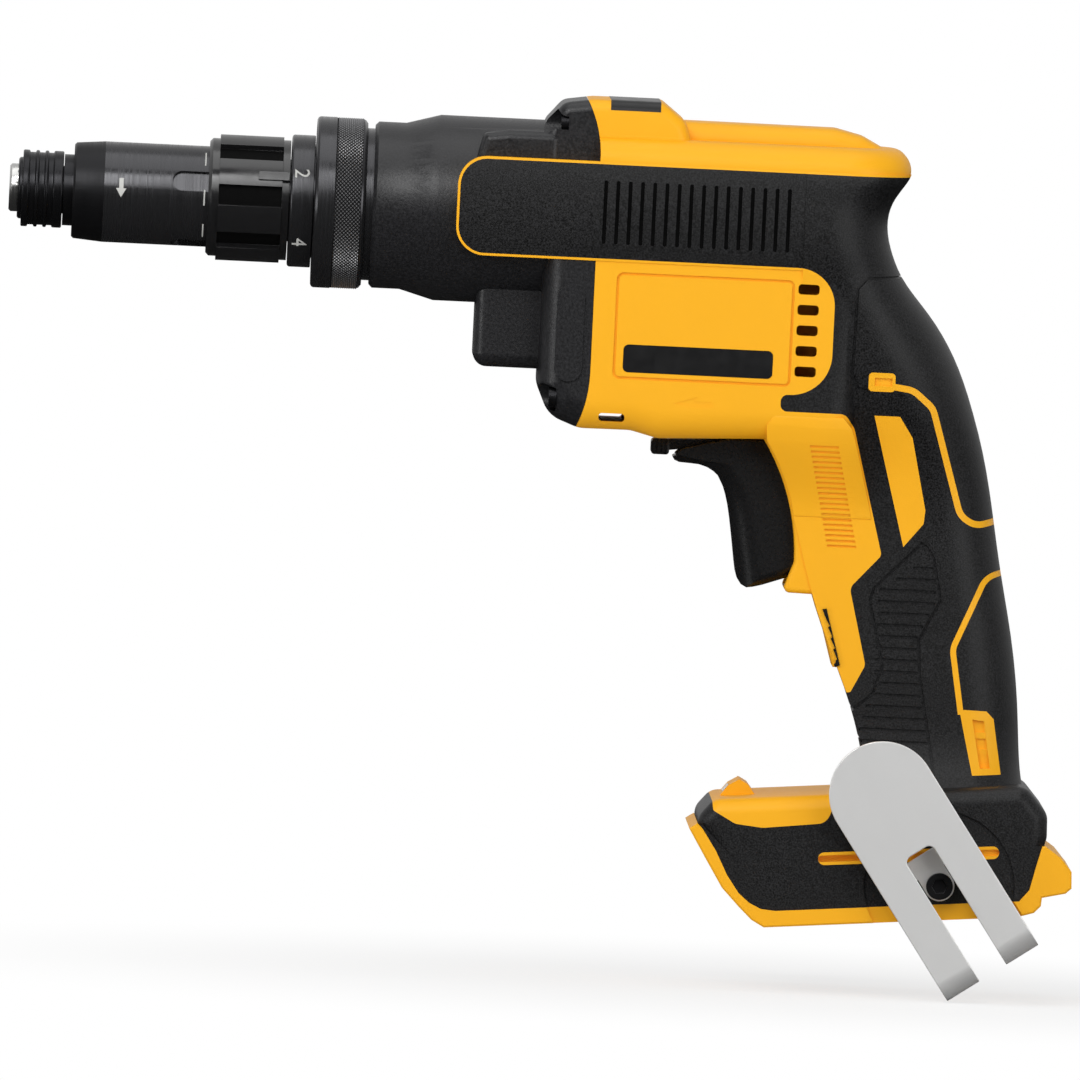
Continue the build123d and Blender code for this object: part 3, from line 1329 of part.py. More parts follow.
with BuildPart() as switch_module:
    extrude(
        box_face(SWITCH_X, SWITCH_X + SWITCH_LENGTH, SWITCH_LOW, SWITCH_TOP, SIDE, 1),
        amount=SWITCH_HALF, both=True,
    )
    extrude(ring_face(SWITCH_X, 0, PLUNGER_R + RUN, PLUNGER_Z), amount=PLUNGER_LENGTH, mode=Mode.SUBTRACT)
write_piece(switch_module, "switch_module")

with BuildPart() as reversing_lever:
    arm = [
        (195, -64.3), (204, -63.9), (214, -63.1), (LEVER_PIVOT_X + 4, -62.9), (LEVER_PIVOT_X + 4, -64),
        (214, -64.1), (205, -65.6), (199, -67), (195, -67.5),
    ]
    flange_low = BAY_LOW + WALL + 0.15
    extrude(side_face(arm, SIDE), amount=LEVER_ARM_HALF, both=True)
    extrude(box_face(LEVER_TIP_X, 196, -68.7, -64.2, SIDE, 1), amount=LEVER_TIP_HALF, both=True)
    with BuildSketch(Plane.XY.offset(-63.5)):
        with Locations((LEVER_PIVOT_X, 0)):
            Circle(LEVER_PIN_R)
    extrude(amount=flange_low + 63.5)
    with BuildSketch(Plane.XY.offset(flange_low)):
        with Locations((LEVER_PIVOT_X, 0)):
            Circle(LEVER_PIN_R + 1.5)
    extrude(amount=1.2)
write_piece(reversing_lever, "reversing_lever")

# Foot: terminals, electronics and work light

with BuildPart() as terminal_block:
    extrude(
        box_face(TERMINAL_X, TERMINAL_END, TERMINAL_LOW, PACK_TOP - SEAT, FOOT_PLANE),
        amount=TERMINAL_HALF, both=True,
    )
write_piece(terminal_block, "terminal_block")

with BuildPart() as battery_contacts:
    for across in CONTACTS:
        blade_plane = FOOT_PLANE.offset(across - CONTACT_THICK / 2)
        extrude(
            box_face(CONTACT_X, TERMINAL_X - FIT, CONTACT_LOW, CONTACT_TOP, blade_plane, CONTACT_THICK),
            amount=CONTACT_THICK,
        )
write_piece(battery_contacts, "battery_contacts")

with BuildPart() as control_module:
    module_low = PACK_TOP + FLOOR + SEAT
    module_top = module_low + MODULE_HEIGHT
    extrude(box_face(MODULE_X, MODULE_END, module_low, module_top, FOOT_PLANE), amount=MODULE_HALF, both=True)
write_piece(control_module, "control_module")

with BuildPart() as control_board:
    board_top = module_top + SEAT + BOARD_THICK
    extrude(
        box_face(MODULE_X + BOARD_INSET, MODULE_END - BOARD_INSET, module_top + SEAT, board_top, FOOT_PLANE),
        amount=MODULE_HALF - BOARD_INSET,
        both=True,
    )
write_piece(control_board, "control_board")

slope = math.radians(LIGHT_SLOPE)
LIGHT_PLANE = Plane(
    FOOT_PLANE.from_local_coords(Vector(*LIGHT_PLACE, 0)),
    x_dir=FOOT_PLANE.x_dir * math.cos(slope) + FOOT_PLANE.y_dir * math.sin(slope),
    z_dir=FOOT_PLANE.z_dir,
)

with BuildPart() as light_housing:
    pedestal = [(-13.7, 34.9), (-8.2, 40.8), (-5, 42.4), (-2.7, 40.9), (0.5, 36.1)]
    extrude(side_face(pedestal, FOOT_PLANE), amount=LIGHT_HALF)
    add(outer, mode=Mode.SUBTRACT)
    mirror(about=SIDE)
    reach = LENS_LENGTH / 2 + SEAT
    extrude(
        box_face(-reach, reach, -LENS_THICK - SEAT, 2, LIGHT_PLANE), amount=LENS_HALF + SEAT, both=True,
        mode=Mode.SUBTRACT,
    )
    reach = EMITTER_HALF + SEAT
    extrude(
        box_face(-reach, reach, -LENS_THICK - EMITTER_THICK - 3 * SEAT, 0, LIGHT_PLANE),
        amount=reach, both=True,
        mode=Mode.SUBTRACT,
    )
write_piece(light_housing, "light_housing")

with BuildPart() as light_lens:
    extrude(
        box_face(-LENS_LENGTH / 2, LENS_LENGTH / 2, -LENS_THICK, 0, LIGHT_PLANE), amount=LENS_HALF, both=True
    )
write_piece(light_lens, "light_lens")

with BuildPart() as light_emitter:
    emitter_top = -LENS_THICK - SEAT
    extrude(
        box_face(-EMITTER_HALF, EMITTER_HALF, emitter_top - EMITTER_THICK, emitter_top, LIGHT_PLANE),
        amount=EMITTER_HALF,
        both=True,
    )
write_piece(light_emitter, "light_emitter")

# Leads

with BuildPart() as motor_leads:
    lead_end = SENSOR_X + BOARD_THICK + SEAT
    for across in MOTOR_LEADS:
        with BuildLine(SIDE.offset(across)) as path:
            FilletPolyline(
                (255, SWITCH_TOP + SEAT), (255, LEAD_LEVEL - 5), (246, LEAD_LEVEL), (lead_end, LEAD_LEVEL),
                radius=4,
            )
        with BuildSketch(Plane(path.line @ 0, z_dir=path.line % 0)) as end_face:
            Circle(LEAD_R)
        sweep(end_face.sketch, path=path.line)
write_piece(motor_leads, "motor_leads")

with BuildPart() as battery_leads:
    low_end = FOOT_PLANE.from_local_coords(Vector(45, board_top + SEAT, 0))
    for across in BATTERY_LEADS:
        with BuildLine(SIDE.offset(across)) as path:
            FilletPolyline(
                (low_end.X, low_end.Z), (low_end.X, -142), (266, -112), (257, -106),
                (257, SWITCH_LOW - SEAT), radius=3,
            )
        with BuildSketch(Plane(path.line @ 0, z_dir=path.line % 0)) as end_face:
            Circle(LEAD_R)
        sweep(end_face.sketch, path=path.line)
write_piece(battery_leads, "battery_leads")

# Belt hook

plate_y = FOOT_HALF - HOOK_RECESS
bend_r = HOOK_GAP / 2 + HOOK_SHEET
bend_y = plate_y + HOOK_SHEET + HOOK_GAP / 2
outer_y = plate_y + HOOK_SHEET + HOOK_GAP
leg_width = HOOK_R - HOOK_SLOT_HALF

with BuildPart() as belt_hook:
    with BuildSketch(HOOK_PLANE.offset(outer_y)):
        Circle(HOOK_R)
        with Locations((HOOK_BEND / 2, 0)):
            Rectangle(HOOK_BEND, 2 * HOOK_R)
        with Locations((HOOK_SLOT_START + FAR / 2, 0)):
            RectangleRounded(FAR, 2 * HOOK_SLOT_HALF, 2, mode=Mode.SUBTRACT)
    extrude(amount=HOOK_SHEET)
    with BuildSketch(HOOK_PLANE.offset(plate_y)):
        with Locations(((HOOK_PLATE_START + HOOK_BEND) / 2, 0)):
            Rectangle(HOOK_BEND - HOOK_PLATE_START, 2 * HOOK_R)
        with Locations((HOOK_NOTCH_START + FAR / 2, 0)):
            Rectangle(FAR, 2 * HOOK_NOTCH_HALF, mode=Mode.SUBTRACT)
        with Locations(((HOOK_NOTCH_START + HOOK_SCREW) / 2, 0)):
            Rectangle(HOOK_SCREW - HOOK_NOTCH_START, 2 * HOOK_TONGUE_R)
        with Locations((HOOK_SCREW, 0)):
            Circle(HOOK_TONGUE_R)
            Circle(HOOK_SCREW_R + SEAT, mode=Mode.SUBTRACT)
    extrude(amount=HOOK_SHEET)
    for side_n in (HOOK_SLOT_HALF, -HOOK_R):
        corner = HOOK_PLANE.from_local_coords(Vector(HOOK_BEND, side_n, bend_y))
        with BuildSketch(Plane(corner, x_dir=HOOK_PLANE.x_dir, z_dir=HOOK_PLANE.y_dir)):
            Circle(bend_r)
            Circle(HOOK_GAP / 2, mode=Mode.SUBTRACT)
            with Locations((-bend_r, 0)):
                Rectangle(2 * bend_r, 2 * bend_r, mode=Mode.SUBTRACT)
        extrude(amount=leg_width)
write_piece(belt_hook, "belt_hook")

with BuildPart() as belt_hook_screw:
    head_y = plate_y + HOOK_SHEET
    with BuildSketch(HOOK_PLANE.offset(head_y)):
        with Locations((HOOK_SCREW, 0)):
            Circle(HOOK_HEAD_R)
    extrude(amount=HOOK_HEAD)
    with BuildSketch(HOOK_PLANE.offset(head_y + HOOK_HEAD)):
        with Locations((HOOK_SCREW, 0)):
            RegularPolygon(HOOK_SOCKET_R, 6)
    extrude(amount=1.2 - HOOK_HEAD, mode=Mode.SUBTRACT)
    with BuildSketch(HOOK_PLANE.offset(head_y)):
        with Locations((HOOK_SCREW, 0)):
            Circle(HOOK_SCREW_R)
    extrude(amount=-HOOK_SCREW_LENGTH)
write_piece(belt_hook_screw, "belt_hook_screw")

with BuildPart() as hook_inserts:
    with BuildSketch(HOOK_PLANE.offset(plate_y)):
        with Locations((HOOK_SCREW, 0)):
            Circle(INSERT_R)
            Circle(INSERT_BORE_R, mode=Mode.SUBTRACT)
    extrude(amount=-INSERT_LENGTH)
    mirror(about=SIDE)
write_piece(hook_inserts, "hook_inserts")
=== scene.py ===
"""Studio scene of a cordless screwdriver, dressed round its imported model.

The frame is in metres and sizes here are in millimetres, unless a name says otherwise. +X runs from the chuck
mouth to the back of the tool, +Y to its right side, +Z up.
"""
import json
import logging
import math
from dataclasses import dataclass
from enum import Enum
from functools import cache
from typing import Any, Callable, Optional, Sequence

import bpy
from mathutils import Matrix, Vector

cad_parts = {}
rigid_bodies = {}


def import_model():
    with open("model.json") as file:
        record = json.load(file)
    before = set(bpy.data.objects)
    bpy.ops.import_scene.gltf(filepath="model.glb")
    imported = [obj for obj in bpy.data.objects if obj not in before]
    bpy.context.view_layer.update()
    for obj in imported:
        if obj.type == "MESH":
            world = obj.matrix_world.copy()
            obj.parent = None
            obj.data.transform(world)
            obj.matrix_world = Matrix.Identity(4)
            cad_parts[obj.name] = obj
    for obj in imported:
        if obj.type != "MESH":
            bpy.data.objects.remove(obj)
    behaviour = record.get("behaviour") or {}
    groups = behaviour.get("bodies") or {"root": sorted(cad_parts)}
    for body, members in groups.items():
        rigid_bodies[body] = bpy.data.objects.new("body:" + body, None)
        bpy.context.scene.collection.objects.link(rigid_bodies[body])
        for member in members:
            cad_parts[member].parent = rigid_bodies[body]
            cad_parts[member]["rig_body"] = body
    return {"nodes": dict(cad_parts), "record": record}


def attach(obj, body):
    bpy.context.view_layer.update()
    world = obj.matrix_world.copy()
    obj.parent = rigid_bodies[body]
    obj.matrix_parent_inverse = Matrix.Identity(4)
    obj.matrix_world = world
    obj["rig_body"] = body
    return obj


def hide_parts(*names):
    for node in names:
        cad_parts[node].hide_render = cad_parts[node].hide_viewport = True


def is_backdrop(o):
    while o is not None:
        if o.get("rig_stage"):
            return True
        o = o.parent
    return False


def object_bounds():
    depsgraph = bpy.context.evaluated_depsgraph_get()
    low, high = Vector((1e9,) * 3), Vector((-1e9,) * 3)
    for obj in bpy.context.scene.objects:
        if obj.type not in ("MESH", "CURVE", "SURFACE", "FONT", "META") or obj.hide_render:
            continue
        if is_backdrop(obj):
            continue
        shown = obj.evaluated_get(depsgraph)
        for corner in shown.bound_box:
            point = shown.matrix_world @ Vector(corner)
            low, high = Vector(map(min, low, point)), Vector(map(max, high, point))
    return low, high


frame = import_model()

LOG = logging.getLogger("screwdriver")
MM = 0.001
SIDES = (("left", -1), ("right", 1))
BEYOND = 60.0
SAME_POINT = 0.002 * MM
PATCH_MM = 14.0
# Width over which the knurl's paler tips fade in: part wear, part painted highlight.
WORN_GLINT_RAMP_MM = 0.45
GLOSS_SPAN = (0.3, 0.7)
# Relief heights over which the grain's painted light runs from shade to highlight.
GRAIN_LIGHT_SPAN = (0.35, 0.75)

Piece = bpy.types.Object
Tree = bpy.types.NodeTree
Socket = bpy.types.NodeSocket
Points = Sequence[tuple[float, float]]


# Colour and shader nodes

def linear(hex_colour: str) -> tuple[float, float, float, float]:
    """Turns an sRGB hex colour into linear light.

    Args:
        hex_colour: Six hex digits, with or without a leading hash.

    Returns:
        Red, green, blue and an alpha of 1.
    """
    channels = [value / 255 for value in bytes.fromhex(hex_colour.lstrip("#"))]
    light = [c / 12.92 if c <= 0.04045 else ((c + 0.055) / 1.055) ** 2.4 for c in channels]
    return (light[0], light[1], light[2], 1.0)


def add_node(tree: Tree, kind: str, sockets: Optional[dict[Any, Any]] = None, **settings: Any) -> bpy.types.Node:
    """Adds one shader node with its settings, socket values and links.

    Args:
        tree: The node tree that gets the node.
        kind: The node's type after its ShaderNode prefix.
        sockets: Values or output sockets for the node's inputs, by name or number.
        settings: Values of the node's own properties.

    Returns:
        The new node.
    """
    node = tree.nodes.new(f"ShaderNode{kind}")
    for key, value in settings.items():
        setattr(node, key, value)
    for key, value in (sockets or {}).items():
        if isinstance(value, Socket):
            tree.links.new(value, node.inputs[key])
        else:
            node.inputs[key].default_value = value
    return node


def remap(
    tree: Tree, value: Socket, span: Sequence[float], result: Sequence[float] = (0.0, 1.0), kind: str = "LINEAR",
) -> Socket:
    """Carries a value from one span to another and holds it at their ends."""
    ends = dict(zip(("From Min", "From Max", "To Min", "To Max"), (*span, *result)))
    return add_node(tree, "MapRange", {"Value": value, **ends}, interpolation_type=kind).outputs["Result"]


def blend(tree: Tree, share: Any, first: Any, second: Any, kind: str = "MIX") -> Socket:
    """Mixes a share of the second colour into the first."""
    return add_node(tree, "Mix", {"Factor": share, 6: first, 7: second}, data_type="RGBA", blend_type=kind).outputs[2]


def reckon(tree: Tree, operation: str, *values: Any) -> Socket:
    """Does one operation on numbers."""
    return add_node(tree, "Math", dict(enumerate(values)), operation=operation).outputs[0]


def blank_tree(owner: Any) -> Tree:
    """Gives a material or a world an empty node tree.

    Args:
        owner: The material or world.

    Returns:
        The tree.
    """
    owner.use_nodes = True
    owner.node_tree.nodes.clear()
    return owner.node_tree


class Grain(Enum):
    """How a surface was made, which gives its fine relief."""

    MOULDED = "pebbled grain of a moulded plastic"
    TURNED = "rings left by a lathe, round the spindle"
    BRUSHED = "long scratches along one direction"
    PLAIN = "soft unevenness of a painted or polished face"


@dataclass(frozen=True)
class Finish:
    """One material: what it is, its colour and the relief of its surface."""

    name: str
    colour: str
    roughness: float
    metallic: float = 0.0
    ior: float = 1.5
    grain: Grain = Grain.MOULDED
    grain_mm: float = 0.6
    depth_mm: float = 0.02
    mottle: float = 0.06
    grain_light: float = 0.0
    gloss_spread: float = 0.06
    specular: float = 0.5
    worn_glint_r_mm: float = 0.0
    worn_glint_colour: str = "#000000"
    transmission: float = 0.0
    turn_deg: float = 0.0

    def scale(self) -> tuple[float, float, float]:
        """Pattern repeats per metre along each axis."""
        fine = 1 / (self.grain_mm * MM)
        if self.grain is Grain.TURNED:
            return (fine, 0.02 * fine, 0.02 * fine)
        if self.grain is Grain.BRUSHED:
            return (0.03 * fine, fine, fine)
        return (fine, fine, fine)

    @cache
    def build(self) -> bpy.types.Material:
        """Makes the material on first use.

        Returns:
            The material, with colour mottle, uneven gloss and relief from nodes.
        """
        material = bpy.data.materials.new(self.name)
        tree = blank_tree(material)
        place = add_node(tree, "TexCoord").outputs["Object"]
        turned = add_node(tree, "Mapping", {"Vector": place, "Rotation": (0.0, math.radians(self.turn_deg), 0.0)})
        stretch = add_node(tree, "VectorMath", {0: turned.outputs["Vector"], 1: self.scale()}, operation="MULTIPLY")
        noise = {"Vector": stretch.outputs["Vector"], "Scale": 1.0, "Detail": 2.0, "Roughness": 0.55}
        relief = add_node(tree, "TexNoise", noise).outputs["Fac"]
        patches = add_node(tree, "TexNoise", {"Vector": place, "Scale": 1 / (PATCH_MM * MM), "Detail": 3.0})
        dark, light = (
            [min(1.0, c * (1 + change)) for c in linear(self.colour)[:3]] + [1.0]
            for change in (-self.mottle, self.mottle)
        )
        tone = blend(tree, patches.outputs["Fac"], dark, light)
        colour = self.wear_and_glint(tree, place, self.paint_grain_light(tree, relief, tone))
        least, most = max(0.02, self.roughness - self.gloss_spread), min(1.0, self.roughness + self.gloss_spread)
        gloss = remap(tree, relief, GLOSS_SPAN, (least, most))
        bump = add_node(tree, "Bump", {"Strength": 1.0, "Distance": self.depth_mm * MM, "Height": relief})
        shader = add_node(
            tree, "BsdfPrincipled",
            {
                "Base Color": colour, "Roughness": gloss, "Normal": bump.outputs["Normal"],
                "Metallic": self.metallic, "IOR": self.ior, "Specular IOR Level": self.specular,
                "Transmission Weight": self.transmission,
            },
        )
        add_node(tree, "OutputMaterial", {"Surface": shader.outputs["BSDF"]})
        return material

    def paint_grain_light(self, tree: Tree, relief: Socket, colour: Socket) -> Socket:
        """Paints highlight on the tops of the grain and shade in its pits.

        Args:
            tree: The material's node tree.
            relief: The height of the grain.
            colour: The colour before the painted light.

        Returns:
            The colour with painted highlight and shade on the grain.
        """
        if not self.grain_light:
            return colour
        # Painted light: tops of the grain paler, pits darker.
        grain_light_tone = remap(tree, relief, GRAIN_LIGHT_SPAN, (1 - self.grain_light, 1 + 2 * self.grain_light))
        return blend(tree, 1.0, colour, grain_light_tone, "MULTIPLY")

    def wear_and_glint(self, tree: Tree, place: Socket, colour: Socket) -> Socket:
        """Pales whatever stands out furthest from the spindle line: the coat worn bare there, and a painted highlight.

        Args:
            tree: The material's node tree.
            place: The point on the surface.
            colour: The colour before the paler tips.

        Returns:
            The colour with the paler tips.
        """
        if not self.worn_glint_r_mm:
            return colour
        across = add_node(tree, "VectorMath", {0: place, 1: (0.0, 1.0, 1.0)}, operation="MULTIPLY")
        radius = add_node(tree, "VectorMath", {0: across.outputs["Vector"]}, operation="LENGTH")
        worn_glint_span = ((self.worn_glint_r_mm - WORN_GLINT_RAMP_MM) * MM, self.worn_glint_r_mm * MM)
        return blend(tree, remap(tree, radius.outputs["Value"], worn_glint_span), colour, linear(self.worn_glint_colour))


# Glass-filled nylon, dyed through and moulded in a satin mould: a soft, even highlight.
YELLOW_NYLON = Finish("satin_yellow_nylon", "#FDB51A", 0.44, grain_mm=0.9, depth_mm=0.010, mottle=0.02, specular=0.25)
# Thermoplastic rubber moulded in an eroded mould: dull black, with painted highlights on the tops of its pebbled grain
# and painted shade in its pits.
SOFT_RUBBER = Finish(
    "grained_black_rubber", "#171718", 0.46, ior=1.52, grain_mm=0.45, depth_mm=0.05, grain_light=0.95, specular=0.30,
)
# Die-cast case with a fine textured black coat: a broad, dull highlight on its rounds, and painted highlight and shade
# on its grain.
COATED_CASE = Finish(
    "textured_black_coat", "#1E1E20", 0.38, grain_mm=0.75, depth_mm=0.05, mottle=0.08, grain_light=0.3, specular=0.42,
)
# Black nylon of the trigger, lever and small plastic pieces: smooth, with a narrow soft highlight.
BLACK_NYLON = Finish("black_nylon", "#121213", 0.30, grain_mm=0.8, depth_mm=0.008, specular=0.45)
# Black nylon deep in a valley or a socket, darker and duller there: painted shade.
SHADED_NYLON = Finish("shaded_black_nylon", "#070707", 0.75, grain_mm=0.8, depth_mm=0.01, specular=0.08)
# Turned aluminium, black anodised: deep black with fine rings that catch the light.
ANODISED = Finish("black_anodised_aluminium", "#434345", 0.25, metallic=0.8, grain=Grain.TURNED, depth_mm=0.006)
# The same metal under a knurl, darker than the smooth ring, with paler tips on the diamonds that are partly worn bare
# and partly a painted highlight.
KNURLED_METAL = Finish(
    "knurled_anodised_aluminium", "#141415", 0.34, metallic=0.8, grain=Grain.TURNED, depth_mm=0.004,
    worn_glint_r_mm=25.0, worn_glint_colour="#BEBEC0",
)
# Turned aluminium on the tapered front band of the torque sleeve, darker and rougher: the darkness is painted shade of
# the taper.
TAPER_SHADE_ANODISED = Finish("taper_shaded_anodised_aluminium", "#1D1D1F", 0.42, metallic=0.7, grain=Grain.TURNED, depth_mm=0.006)
# Polished black acetal of the locking collar: narrow, clear highlights along its ribs.
GLOSS_COLLAR = Finish(
    "polished_black_acetal", "#171718", 0.20, ior=1.48, grain=Grain.PLAIN, grain_mm=6, depth_mm=0.015, specular=0.85,
)
# Steel with a black oxide coat.
OXIDE_STEEL = Finish(
    "black_oxide_steel", "#29292B", 0.32, metallic=0.85, grain=Grain.TURNED, grain_mm=0.5, depth_mm=0.005,
)
# Ground bright steel.
BRIGHT_STEEL = Finish(
    "ground_steel", "#C6C6C4", 0.26, metallic=1.0, grain=Grain.TURNED, grain_mm=0.5, depth_mm=0.002, mottle=0.03,
)
# Rolled steel sheet of the belt hook, nickel plated: an even pale satin with faint rolling marks along it.
HOOK_SHEET = Finish(
    "bright_nickel_sheet", "#F0F0EF", 0.42, metallic=0.55, grain=Grain.BRUSHED, grain_mm=0.7, depth_mm=0.0002,
    mottle=0.01, gloss_spread=0.02, turn_deg=-55.5,
)
# Plain dark foil of the side plates and the top label.
PLATE_FOIL = Finish("dark_plate_foil", "#161617", 0.34, grain=Grain.PLAIN, grain_mm=3, depth_mm=0.003, specular=0.35)
# Printed paint of the scale marks, a pale grey.
WHITE_PAINT = Finish("pale_marking_paint", "#C4C4C0", 0.55, grain=Grain.PLAIN, grain_mm=1.0, depth_mm=0.004)
# Clear moulded lens over the work light.
CLEAR_LENS = Finish(
    "clear_polycarbonate", "#F4F6F6", 0.08, ior=1.58, grain=Grain.PLAIN, grain_mm=4, depth_mm=0.002, transmission=0.9,
)
# Yellow phosphor of the light's emitter.
EMITTER = Finish("phosphor_emitter", "#F2E6A0", 0.4, grain=Grain.PLAIN, depth_mm=0.01)
# As-cast aluminium of the motor plate, grey with a sandy skin.
CAST_PLATE = Finish("cast_aluminium", "#A9A9AA", 0.48, metallic=1.0, grain_mm=0.9, depth_mm=0.03)
# Turned brass of the threaded inserts and contacts.
BRASS = Finish("plain_brass", "#C79A4B", 0.3, metallic=1.0, grain=Grain.TURNED, grain_mm=0.4, depth_mm=0.004)
# Enamelled copper wire of the coils.
COPPER = Finish("enamelled_copper", "#B5622F", 0.35, metallic=0.9, grain=Grain.BRUSHED, grain_mm=0.5, depth_mm=0.03)
# Glass-fibre board under green solder mask.
CIRCUIT = Finish("solder_mask_board", "#1F5A36", 0.4, grain=Grain.PLAIN, grain_mm=2, depth_mm=0.01)
# Red silicone insulation of the leads.
LEAD_RUBBER = Finish("lead_insulation", "#8A1F1C", 0.5, grain_mm=0.8, depth_mm=0.01)

SLOT_FINISH: dict[str, Finish] = {
    "yellow_plastic": YELLOW_NYLON, "soft_black": SOFT_RUBBER, "black_case": COATED_CASE, "black_plastic": BLACK_NYLON,
    "black_anodised": ANODISED, "gloss_black": GLOSS_COLLAR, "black_steel": OXIDE_STEEL, "steel": BRIGHT_STEEL,
    "hook_steel": HOOK_SHEET, "cast_plate": CAST_PLATE, "brass": BRASS, "copper": COPPER, "circuit": CIRCUIT,
    "lens": CLEAR_LENS, "emitter": EMITTER, "lead_red": LEAD_RUBBER,
}
NODE_FINISH: dict[str, Finish] = {"rating_plates": PLATE_FOIL}


def finish_of(entry: dict[str, Any]) -> Finish:
    """Gives the finish of one subpart of the record: its own, or else its slot's."""
    return NODE_FINISH.get(entry["node"], SLOT_FINISH[entry["material_slot"]])


def dress(piece: Piece, finish: Finish) -> None:
    """Gives a piece one finish all over."""
    piece.data.materials.clear()
    piece.data.materials.append(finish.build())


# Modelling by operators

def pick(piece: Piece) -> None:
    """Makes one object the only selected and the active one.

    Args:
        piece: The object.
    """
    bpy.ops.object.select_all(action="DESELECT")
    piece.select_set(True)
    bpy.context.view_layer.objects.active = piece


def edit(piece: Piece, *steps: Callable[[], Any]) -> None:
    """Runs edit-mode steps on one object with all of its mesh selected.

    Args:
        piece: The object.
        steps: What is done in edit mode, in order.
    """
    pick(piece)
    bpy.ops.object.mode_set(mode="EDIT")
    bpy.ops.mesh.select_all(action="SELECT")
    for step in steps:
        step()
    bpy.ops.object.mode_set(mode="OBJECT")


def smooth(piece: Piece, angle_deg: float = 30.0) -> None:
    """Shades a piece smooth, but for edges sharper than an angle."""
    pick(piece)
    bpy.ops.object.shade_smooth_by_angle(angle=math.radians(angle_deg))


def apply_modifier(piece: Piece, kind: str, **settings: Any) -> None:
    """Adds a modifier with its settings and applies it.

    Args:
        piece: The piece.
        kind: The modifier's type.
        settings: Values of its properties, set in this order.
    """
    pick(piece)
    step = piece.modifiers.new(kind.lower(), kind)
    for key, value in settings.items():
        setattr(step, key, value)
    bpy.ops.object.modifier_apply(modifier=step.name)


def bevel(piece: Piece, width_mm: float, segments: int, angle_deg: float) -> None:
    """Rounds the edges that are sharper than an angle, in a number of steps across a width."""
    apply_modifier(
        piece, "BEVEL", width=width_mm * MM, segments=segments, limit_method="ANGLE",
        angle_limit=math.radians(angle_deg), use_clamp_overlap=True,
    )


def even_shading(piece: Piece) -> None:
    """Keeps a smooth-shaded piece's broad flat faces flat beside their rounded edges."""
    apply_modifier(piece, "WEIGHTED_NORMAL", keep_sharp=True)


def face_out() -> None:
    """Selects the whole mesh in edit mode and turns its faces outward."""
    bpy.ops.mesh.select_all(action="SELECT")
    bpy.ops.mesh.normals_make_consistent(inside=False)


def turn_mesh(angle_deg: float, axis: str) -> None:
    """Turns what is selected in edit mode about an axis through the origin."""
    bpy.ops.transform.rotate(value=math.radians(angle_deg), orient_axis=axis, center_override=(0, 0, 0))


def join_points() -> None:
    """Selects the whole mesh in edit mode and joins points that fall together."""
    bpy.ops.mesh.select_all(action="SELECT")
    bpy.ops.mesh.remove_doubles(threshold=SAME_POINT)


def shift_mesh(x: float, y: float, z: float) -> None:
    """Moves what is selected in edit mode by a step in millimetres."""
    bpy.ops.transform.translate(value=(x * MM, y * MM, z * MM))


def carry_mesh(x: float, y: float, z: float) -> None:
    """Extrudes what is selected in edit mode by a step in millimetres."""
    bpy.ops.mesh.extrude_region_move(TRANSFORM_OT_translate={"value": (x * MM, y * MM, z * MM)})


def node_copy(node: str, name: str) -> Piece:
    """Copies a CAD node's mesh into a new piece with its loose triangles joined.

    Args:
        node: The CAD node.
        name: The new piece's name.

    Returns:
        The new piece.
    """
    piece = bpy.data.objects.new(name, frame["nodes"][node].data.copy())
    bpy.context.scene.collection.objects.link(piece)
    pick(piece)
    if piece.data.has_custom_normals:
        bpy.ops.mesh.customdata_custom_splitnormals_clear()
    edit(piece, join_points)
    return piece


def new_square(name: str, side_m: float = MM) -> Piece:
    """Adds a level square at the origin.

    Args:
        name: The new piece's name.
        side_m: Its side, in metres.

    Returns:
        The new piece.
    """
    bpy.ops.object.select_all(action="DESELECT")
    bpy.ops.mesh.primitive_plane_add(size=side_m, location=(0, 0, 0))
    piece = bpy.context.active_object
    piece.name = piece.data.name = name
    return piece


def draw_line(name: str, points: Sequence[Sequence[float]]) -> Piece:
    """Draws a line of edges from point to point.

    Args:
        name: The new piece's name.
        points: Places along, across and up the tool.

    Returns:
        The new piece.
    """
    piece = new_square(name)

    def draw() -> None:
        """Shrinks the square to one corner and carries it along."""
        bpy.ops.mesh.merge(type="CENTER")
        shift_mesh(*points[0])
        for last, point in zip(points, points[1:]):
            carry_mesh(*(after - before for before, after in zip(last, point)))

    edit(piece, draw)
    return piece


def lathe(name: str, profile: Points, steps: int) -> Piece:
    """Spins a profile about the spindle line.

    Args:
        name: The new piece's name.
        profile: Places along the tool and radii, from one end round to the other.
        steps: Steps round the turn.

    Returns:
        The new piece.
    """
    piece = draw_line(name, [(x, 0, r) for x, r in profile])
    edit(
        piece, lambda: bpy.ops.mesh.spin(steps=steps, angle=2 * math.pi, center=(0, 0, 0), axis=(1, 0, 0)),
        join_points, face_out,
    )
    return piece


def place_piece(
    piece: Piece, body: str, finish: Finish, nodes: Sequence[str] = (),
) -> None:
    """Dresses a finished piece, hangs it on its body and reports it.

    Args:
        piece: The piece, in place.
        body: The CAD body it rides on.
        finish: Its finish.
        nodes: CAD nodes it stands for.
    """
    dress(piece, finish)
    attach(piece, body)
    if nodes:
        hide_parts(*nodes)
    LOG.info("%s on %s", piece.name, body)


